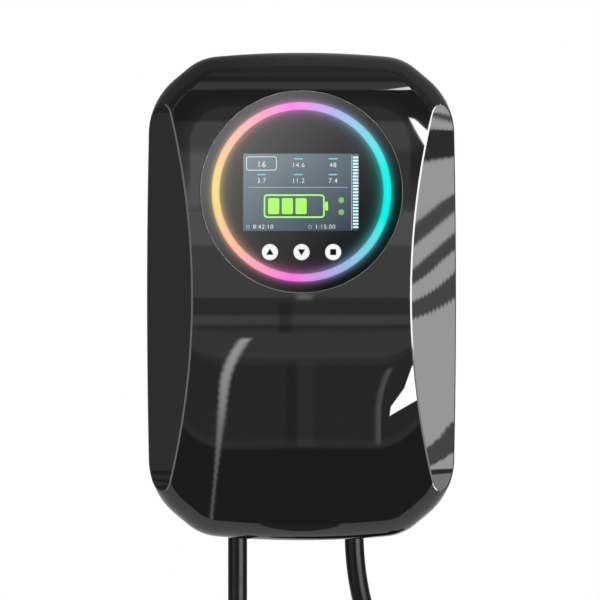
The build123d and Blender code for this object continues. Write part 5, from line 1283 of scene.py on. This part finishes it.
def fuse_glass():
    """Glass tube of the fuse with plated end caps."""
    material, tree, shader, place = new_finish("fuse_glass")
    parts = tree.split(place)
    offset = tree.absolute(tree.minus(parts["X"], -0.0468))
    cap = tree.soft_step(offset, 0.0052, 0.0054)
    tree.set(shader.inputs["Base Color"], tree.mix(cap, (0.55, 0.60, 0.58), (0.74, 0.74, 0.72)))
    tree.set(shader.inputs["Metallic"], cap)
    tree.set(shader.inputs["Roughness"], marked_roughness(tree, place, 0.08, 0.20, 90.0))
    return material


# Studio


def white_floor():
    """Pale floor: it takes shadows near the object and fades into the white background further out."""
    material = bpy.data.materials.new("studio_floor")
    material.use_nodes = True
    tree = Tree(material.node_tree)
    material.node_tree.nodes.clear()
    out = tree.add("ShaderNodeOutputMaterial")
    pale = tree.add("ShaderNodeBsdfDiffuse", {"Color": (0.90, 0.90, 0.90, 1.0)})
    white = tree.add("ShaderNodeEmission", {"Color": (1.0, 1.0, 1.0, 1.0), "Strength": 1.0})
    clear = tree.add("ShaderNodeBsdfTransparent")
    reach = tree.add("ShaderNodeVectorMath", {0: tree.object_place()}, operation="LENGTH").outputs["Value"]
    away = tree.soft_step(reach, 1.1, 2.8, 0.35, 1.0)
    seen = tree.times(away, tree.add("ShaderNodeLightPath").outputs["Is Camera Ray"])
    top = tree.add("ShaderNodeMixShader", {0: seen, 1: pale.outputs[0], 2: white.outputs[0]})
    below = tree.add("ShaderNodeNewGeometry").outputs["Backfacing"]
    both = tree.add("ShaderNodeMixShader", {0: below, 1: top.outputs[0], 2: clear.outputs[0]})
    tree.set(out.inputs["Surface"], both.outputs[0])
    return material


# Mirrored room
#
# The cover is nearly a flat mirror, so its front shows only a small part of the room round the viewer. Places
# there are in millimetres on the front, from the mounting holes. Levels are the greys that the gloss cover shows.
# A field is (lowest place, highest place, level). A band is (low edge, high edge, softness).
COVER_SHARE = 0.042
COVER_BASE = 0.0045
FRONT_SCALE = 87.4
FRONT_SHIFT = -3.8
FRONT_EDGE = 2.25

# Room behind the viewer: ceiling, shelves and floor. The upper wall is lit from the left.
FRONT_LEVEL = 44
FRONT_FIELDS = (
    (-200, -113, 26), (-107, -52, 38), (-47, -27, 53), (-22, -15, 61), (-2, 36, 61), (36, 62, 77), (62, 128, 66),
    (130, 150, 46),
)
FIELD_EDGE = 1.6
ROWS_BEND_PAST = 56.0
ROWS_BEND = 0.0172
SIDE_LIGHT = (1.7, 0.6)
SIDE_LIGHT_ROWS = (64.0, 106.0, 5.0)
# A dark post, a pale panel and a dark gap: band across, band upwards, change of the level
FRONT_PATCHES = (
    ((-15.7, -6.0, 1.6), (-28.5, -6.0, 1.0), -0.42),
    ((-1.5, 10.0, 3.0), (-112.0, -50.0, 4.0), 0.35),
    ((-10.0, -3.0, 2.0), (-112.0, -50.0, 4.0), -0.25),
)
SMALL_LAMP = ((-2.5, 9.0, 3.0), (-3.4, 0.6, 2.2), 100)
# Shadow outside a rounded shape at the top: from a corner point, by a radius
SHOULDER_CORNER = (54.0, 112.0)
SHOULDER_RADIUS = 26.0
SHOULDER_SHADES = ((-6, 0), (0, 0), (2, 0.5), (12, 0.7), (30, 0.7))
# Bright curtain edge: it bends away where it comes near the middle, and fades and narrows downwards
CURTAIN_FOOT = (-80.0, -57.0)
CURTAIN_LEAN = 0.1
CURTAIN_BEND = (-68.0, 0.0096)
CURTAIN_FOLDS = (1.1, 0.28)
CURTAIN_HALF = (1.0, 3.9)
CURTAIN_LEVELS = (86, 148)
# Pale strip beside the right-hand crease
STRIP_ROWS = (-110.0, -54.0, 2.0)
STRIP_LEVEL = 74
WHITE_SHAPES = (
    ((76.8, -69.5), (83, -52.1), (89.2, -52.1), (89.2, -76.8)),
    ((66.2, -89.2), (67, -82.6), (76.8, -69.2), (89.2, -69.2), (89.2, -75.7)),
    ((80.1, 130.7), (84.8, 129.2), (94.3, 120.5), (94.3, 108.8), (91.4, 110.3), (86.3, 119)),
)
WHITE_LEVEL = 26.0

# Part that only the display glass mirrors
DISC_SCALE = 85.5
DISC_SHARE = 0.072
DISC_MIDDLE = 75.5
DISC_REACH = 73.5
DISC_LEVELS = ((-0.8, 5), (0, 62), (1, 100))

# Right-hand facet: a bright wall beside the box with the dark slanting ribs of a lamp stand
FACET_TILTS = (74.5, 80.0, 0.5)
FACET_TURN = 77.12
FACET_BOW = 0.0075
FACET_SCALE = 12.09
FACET_ACROSS = 110.3
FACET_WALL = 146
FACET_RIBS = ((-127, -104, 65), (-10, 5, 65), (20, 33, 65), (49, 65, 65), (100, 123, 42), (130, 134, 65))
FACET_SLANTS = ((-150, 1.5), (-95, 1.5), (-60, 0.3), (-10, 0.45), (25, 0.85), (70, 0.95), (105, 0.2), (125, -0.1))
FACET_FLOOR_LEVEL = 112

# Left-hand facet, by the height above the horizon in degrees
LEFT_FACET_LEVEL = 43
LEFT_FACET_FIELDS = ((-20, -11, 32), (10.6, 10.8, 28), (11.0, 11.2, 28), (11.5, 11.7, 28))

# Rolled edges and creases, by the tilt away from the viewer and the turn round that line, in degrees
EDGE_LEVEL = 44
EDGE_FIELDS = ((5, 10, 56), (11.5, 19, 35), (26, 38, 38), (46, 200, 50))
EDGE_GLEAMS = (
    ((8.6, 10.6, 0.4), (4.2, 7.4, 0.5), 215),
    ((-24.0, -17.0, 2.0), (2.4, 5.0, 0.6), 96),
)
RIGHT_TURNS = (77.0, 104.0)
LEFT_TURNS = (-104.0, -77.0)
CREASE_LEVELS = (4.5, 24.0)
LEFT_CREASE_LEVEL = 3.2
SIDE_LEVEL = 0.5
BELOW_LEVEL = 31
FLOOR_LEVELS = ((0, 62), (100, 75), (180, 68))


def shade(grey):
    """Room level that shows as an 8-bit grey in the gloss cover."""
    linear = ((grey / 255 + 0.055) / 1.055) ** 2.4
    return max(linear - COVER_BASE, 0.0) / COVER_SHARE


def levels(tree, value, stops, read=shade):
    """A number that follows value through (value, number) stops, each number passed through read."""
    low, high = stops[0][0], stops[-1][0]
    numbers = [read(number) for _, number in stops]
    least, most = min(numbers), max(numbers)
    share = tree.add("ShaderNodeMapRange", {"Value": value, 1: low, 2: high}).outputs[0]
    places = [(place - low) / (high - low) for place, _ in stops]
    shares = [(number - least) / (most - least) for number in numbers]
    tone = tree.add("ShaderNodeSeparateColor", {0: tree.ramp(share, list(zip(places, shares)))}).outputs[0]
    return tree.times_plus(tone, most - least, least)


def inside(tree, across, up, corners, soft=0.4):
    """One inside a convex shape whose corners run clockwise, zero outside."""
    nearest = None
    for (x, z), (next_x, next_z) in zip(corners, corners[1:] + corners[:1]):
        length = math.hypot(next_x - x, next_z - z)
        lean, drop = (next_z - z) / length, (next_x - x) / length
        depth = tree.times_plus(across, lean, tree.times_plus(up, -drop, z * drop - x * lean))
        nearest = depth if nearest is None else tree.math("MINIMUM", nearest, depth)
    return tree.soft_step(nearest, -soft, soft)


def lay_over(tree, below, mask, level):
    """Puts a level over another one where the mask is one."""
    return tree.times_plus(tree.minus(level, below), mask, below)


def lay_fields(tree, view, value, fields, edge):
    """Lays fields of one level each over a view, by where the value lies."""
    for low, high, grey in fields:
        view = lay_over(tree, view, tree.band(value, low, high, edge), shade(grey))
    return view


def patch(tree, across, up, sides, ends):
    """One inside a soft rectangle, given as two bands."""
    return tree.times(tree.band(across, *sides), tree.band(up, *ends))


def scale_by(tree, view, mask, change):
    """Changes the level by a share of itself where the mask is one."""
    return tree.times(view, tree.times_plus(mask, change, 1.0))


def shelf_rows(tree, across, up):
    """Rows of ceiling, shelves and floor, which bend upwards near both creases, with patches and a small lamp."""
    far = tree.past(tree.absolute(across), ROWS_BEND_PAST)
    bend = tree.times(far, far, ROWS_BEND, tree.soft_step(up, -45.0, -22.0, 1.0, 0.0))
    view = lay_fields(tree, shade(FRONT_LEVEL), tree.minus(up, bend), FRONT_FIELDS, FIELD_EDGE)
    lit = tree.soft_step(across, -13.0, -4.0, *SIDE_LIGHT)
    view = tree.times(view, lay_over(tree, 1.0, tree.band(up, *SIDE_LIGHT_ROWS), lit))
    for sides, ends, change in FRONT_PATCHES:
        view = scale_by(tree, view, patch(tree, across, up, sides, ends), change)
    sides, ends, grey = SMALL_LAMP
    return lay_over(tree, view, patch(tree, across, up, sides, ends), shade(grey))


def shoulder_shadow(tree, across, up):
    """How much is left of the light outside the rounded shape at the top."""
    side = tree.past(tree.absolute(across), SHOULDER_CORNER[0])
    above = tree.past(up, SHOULDER_CORNER[1])
    arch = tree.minus(tree.hypotenuse(side, above), SHOULDER_RADIUS)
    shadow = tree.times(levels(tree, arch, SHOULDER_SHADES, float), tree.soft_step(up, 60.0, 95.0))
    return tree.minus(1.0, shadow)


def lay_curtain(tree, view, across, up):
    near = tree.soft_step(up, -150.0, -30.0)
    rise = tree.past(up, CURTAIN_BEND[0])
    bend = tree.times(rise, rise, CURTAIN_BEND[1])
    lean = tree.times(tree.minus(up, CURTAIN_FOOT[0]), CURTAIN_LEAN)
    folds = tree.times(tree.sine(tree.times(up, CURTAIN_FOLDS[0])), CURTAIN_FOLDS[1])
    middle = tree.plus(tree.plus(lean, CURTAIN_FOOT[1]), tree.plus(bend, folds))
    half = tree.times_plus(near, CURTAIN_HALF[1] - CURTAIN_HALF[0], CURTAIN_HALF[0])
    edge = tree.over(tree.absolute(tree.minus(across, middle)), half)
    cloth = tree.times(tree.soft_step(edge, 0.3, 1.7, 1.0, 0.0), tree.soft_step(up, -31.0, -33.5))
    dim, bright = (shade(grey) for grey in CURTAIN_LEVELS)
    return lay_over(tree, view, cloth, tree.times_plus(near, bright - dim, dim))


def lay_strip(tree, view, across, up):
    """Pale strip that follows the lower part of the right-hand crease."""
    rise = tree.past(up, -88.0)
    aside = tree.minus(across, tree.times_plus(tree.times(rise, rise), 0.0075, 58.2))
    strip = tree.times(
        tree.soft_step(aside, -4.5, 0.0), tree.soft_step(aside, 0.5, 2.5, 1.0, 0.0), tree.band(up, *STRIP_ROWS)
    )
    return lay_over(tree, view, strip, shade(STRIP_LEVEL))


def front_view(tree, across, up):
    """What the flat front and the display glass mirror."""
    view = tree.times(shelf_rows(tree, across, up), shoulder_shadow(tree, across, up))
    view = lay_curtain(tree, view, across, up)
    view = lay_strip(tree, view, across, up)
    for corners in WHITE_SHAPES:
        view = lay_over(tree, view, inside(tree, across, up, corners), WHITE_LEVEL)
    return view


def disc_view(tree, across, up):
    """Part of the room that only the display glass mirrors: pale at its upper left, dark at its lower right."""
    x = tree.times(across, -0.766 / DISC_REACH)
    slope = tree.times_plus(tree.minus(up, DISC_MIDDLE), 0.643 / DISC_REACH, x)
    return levels(tree, slope, DISC_LEVELS, lambda grey: (grey / 255) ** 2.2 / DISC_SHARE)


def facet_view(tree, bearing, height):
    """What the right-hand facet mirrors."""
    up = tree.times_plus(height, -FACET_SCALE, 0.7)
    bow = tree.times_plus(tree.times(height, height), FACET_BOW, FACET_TURN)
    across = tree.times(tree.minus(bearing, bow), FACET_ACROSS)
    slant = levels(tree, up, FACET_SLANTS, float)
    ribs = tree.times(tree.sine(tree.times(across, 2.1)), 0.6)
    row = tree.minus(tree.plus(up, ribs), tree.times(slant, across))
    view = lay_fields(tree, shade(FACET_WALL), row, FACET_RIBS, 2.0)
    view = lay_over(tree, view, tree.soft_step(up, -129.5, -126.5, 1.0, 0.0), shade(FACET_FLOOR_LEVEL))
    return lay_over(tree, view, tree.band(up, -129.0, -126.0, 0.6), shade(40))


def edge_view(tree, tilt, turn, down):
    """What the rolled edges and the creases mirror."""
    view = lay_fields(tree, shade(EDGE_LEVEL), tilt, EDGE_FIELDS, 0.8)
    dim = tree.times(tree.soft_step(turn, 1.0, -5.0), tree.soft_step(tilt, 12.0, 16.0))
    view = scale_by(tree, view, dim, -0.4)
    for turns, tilts, grey in EDGE_GLEAMS:
        view = lay_over(tree, view, patch(tree, turn, tilt, turns, tilts), shade(grey))

    aside = tree.minus(180.0, tree.absolute(turn))
    start = tree.soft_step(aside, 0.0, 5.0, 50.0, 5.0)
    floor = tree.times(down, tree.soft_step(tree.minus(tilt, start), -1.5, 1.5))
    view = lay_over(tree, view, down, shade(BELOW_LEVEL))
    view = lay_over(tree, view, floor, levels(tree, tilt, FLOOR_LEVELS))

    right = tree.band(turn, *RIGHT_TURNS, 1.0)
    left = tree.band(turn, *LEFT_TURNS, 1.0)
    crease = tree.times(right, tree.band(tilt, 16.0, 64.0, 2.0))
    view = lay_over(tree, view, crease, tree.soft_step(turn, 86.5, 88.0, *CREASE_LEVELS))
    crease = tree.times(left, tree.band(tilt, 8.0, 70.0, 3.0))
    view = lay_over(tree, view, crease, LEFT_CREASE_LEVEL)
    sides = tree.times(tree.plus(right, left), tree.soft_step(tilt, 80.0, 86.0))
    return lay_over(tree, view, sides, SIDE_LEVEL)


def mirrored_room(tree, direction):
    """The room by direction: the part behind the viewer, the display's part, both facets' parts and the rest."""
    parts = tree.split(direction)
    ahead = tree.times(parts["Y"], -1.0)
    degrees = math.degrees(1.0)
    height = tree.times(tree.math("ARCSINE", parts["Z"]), degrees)
    bearing = tree.times(tree.math("ARCTAN2", parts["X"], ahead), degrees)
    turn = tree.times(tree.math("ARCTAN2", parts["X"], parts["Z"]), degrees)
    tilt = tree.times(tree.math("ARCTAN2", tree.hypotenuse(parts["X"], parts["Z"]), ahead), degrees)
    room = edge_view(tree, tilt, turn, tree.soft_step(height, -0.2, -0.6))

    front = tree.soft_step(tilt, FRONT_EDGE, FRONT_EDGE + 0.06, 1.0, 0.0)
    up = tree.times_plus(height, FRONT_SCALE, FRONT_SHIFT)
    room = lay_over(tree, room, front, front_view(tree, tree.times(bearing, FRONT_SCALE), up))

    across = tree.times_plus(bearing, DISC_SCALE, -1.1)
    up = tree.times_plus(height, DISC_SCALE, -2.55)
    reach = tree.hypotenuse(across, tree.minus(up, DISC_MIDDLE))
    disc = tree.soft_step(reach, 72.6, 73.1, 1.0, 0.0)
    room = lay_over(tree, room, tree.times(disc, front), disc_view(tree, across, up))

    facets = tree.band(tilt, *FACET_TILTS)
    right = tree.times(facets, tree.band(turn, *RIGHT_TURNS, 0.5))
    room = lay_over(tree, room, right, facet_view(tree, bearing, height))
    left = tree.times(facets, tree.band(turn, *LEFT_TURNS, 0.5))
    return lay_over(tree, room, left, lay_fields(tree, shade(LEFT_FACET_LEVEL), height, LEFT_FACET_FIELDS, 0.06))


def build_room(world, room_light):
    """White for the camera, even light for the object, and a room for whatever mirrors it."""
    world.use_nodes = True
    world.node_tree.nodes.clear()
    tree = Tree(world.node_tree)
    out = tree.add("ShaderNodeOutputWorld")
    room = mirrored_room(tree, tree.add("ShaderNodeTexCoord").outputs["Generated"])
    path = tree.add("ShaderNodeLightPath").outputs
    level = tree.times_plus(path["Is Camera Ray"], 1.0 - room_light, room_light)
    mirrored = tree.times(path["Is Glossy Ray"], tree.minus(1.0, path["Is Camera Ray"]))
    strength = lay_over(tree, level, mirrored, room)
    background = tree.add("ShaderNodeBackground", {"Color": (1.0, 1.0, 1.0, 1.0), "Strength": strength})
    tree.set(out.inputs["Surface"], background.outputs[0])


# Soft lamps: name, place, width, height, power
LAMP_TARGET = (0.0, 0.0, -0.1)
SOFTBOXES = (
    ("key_softbox", (-1.5, -2.4, 1.5), 1.4, 1.4, 42.0),
    ("fill_softbox", (1.9, -1.8, 0.4), 1.2, 1.6, 18.0),
    ("rear_softbox", (0.6, 2.6, 1.6), 1.6, 1.2, 26.0),
)
VIEWER_PLACE = (-0.0011, -0.00255)
COVER_FRONT = 0.06
FLOOR_RADIUS = 9.0


def add_softbox(name, place, width, height, power):
    """A soft lamp that the mirrors don't show: they show the room."""
    light = bpy.data.lights.new(name, "AREA")
    light.shape = "RECTANGLE"
    light.size = width
    light.size_y = height
    light.energy = power
    lamp = bpy.data.objects.new(name, light)
    lamp.location = place
    lamp.rotation_euler = (Vector(LAMP_TARGET) - Vector(place)).to_track_quat("-Z", "Y").to_euler()
    lamp.visible_camera = False
    lamp.visible_glossy = False
    bpy.context.scene.collection.objects.link(lamp)


class WALLBOX_OT_studio(bpy.types.Operator):
    """Set up the camera, the room, the lamps and the floor"""

    bl_idname = "wallbox.studio"
    bl_label = "Studio"

    def execute(self, context):
        studio = context.scene.wallbox_studio
        scene = context.scene
        camera = bpy.data.cameras.new("front_camera")
        camera.sensor_width = 36.0
        camera.lens = camera.sensor_width * (studio.camera_distance - COVER_FRONT) / studio.frame_width
        camera.clip_end = 100.0
        viewer = bpy.data.objects.new("front_camera", camera)
        viewer.location = (VIEWER_PLACE[0], -studio.camera_distance, VIEWER_PLACE[1])
        viewer.rotation_euler = (math.radians(90.0), 0.0, 0.0)
        scene.collection.objects.link(viewer)
        scene.camera = viewer

        world = bpy.data.worlds.new("studio_room")
        scene.world = world
        build_room(world, studio.room_light)
        for lamp in SOFTBOXES:
            add_softbox(*lamp)

        bm = bmesh.new()
        bmesh.ops.create_circle(bm, cap_ends=True, radius=FLOOR_RADIUS, segments=96)
        bmesh.ops.translate(bm, vec=(0.0, 0.0, studio.floor_height), verts=bm.verts)
        floor = bpy.data.objects.new("floor", mesh_from("floor", bm))
        floor.data.materials.append(white_floor())
        floor.visible_glossy = False
        scene.collection.objects.link(floor)
        scene.view_settings.view_transform = "Standard"
        return {"FINISHED"}


class WALLBOX_PT_sidebar(bpy.types.Panel):
    """Lists the wallbox's pieces and their settings"""

    bl_label = "Wallbox"
    bl_idname = "WALLBOX_PT_sidebar"
    bl_space_type = "VIEW_3D"
    bl_region_type = "UI"
    bl_category = "Wallbox"

    def draw(self, context):
        for name in ("wallbox_sizes", "wallbox_colours", "wallbox_studio"):
            group = getattr(context.scene, name)
            box = self.layout.box()
            for setting in group.__annotations__:
                box.prop(group, setting)
        for operator in OPERATORS:
            self.layout.operator(operator.bl_idname)


OPERATORS = (
    WALLBOX_OT_studio,
    WALLBOX_OT_case_finishes,
    WALLBOX_OT_display_finishes,
    WALLBOX_OT_inner_finishes,
    WALLBOX_OT_lead_finishes,
    WALLBOX_OT_straps,
    WALLBOX_OT_supply_lead,
    WALLBOX_OT_charging_lead,
    WALLBOX_OT_display_print,
    WALLBOX_OT_screen_picture,
    WALLBOX_OT_button_signs,
)
CLASSES = (WallboxSizes, WallboxColours, WallboxStudio, *OPERATORS, WALLBOX_PT_sidebar)


def register():
    for cls in CLASSES:
        bpy.utils.register_class(cls)
    bpy.types.Scene.wallbox_sizes = PointerProperty(type=WallboxSizes)
    bpy.types.Scene.wallbox_colours = PointerProperty(type=WallboxColours)
    bpy.types.Scene.wallbox_studio = PointerProperty(type=WallboxStudio)


def unregister():
    del bpy.types.Scene.wallbox_studio
    del bpy.types.Scene.wallbox_colours
    del bpy.types.Scene.wallbox_sizes
    for cls in reversed(CLASSES):
        bpy.utils.unregister_class(cls)


def main():
    register()
    for operator in OPERATORS:
        family, name = operator.bl_idname.split(".")
        getattr(getattr(bpy.ops, family), name)()


if __name__ == "__main__":
    main()
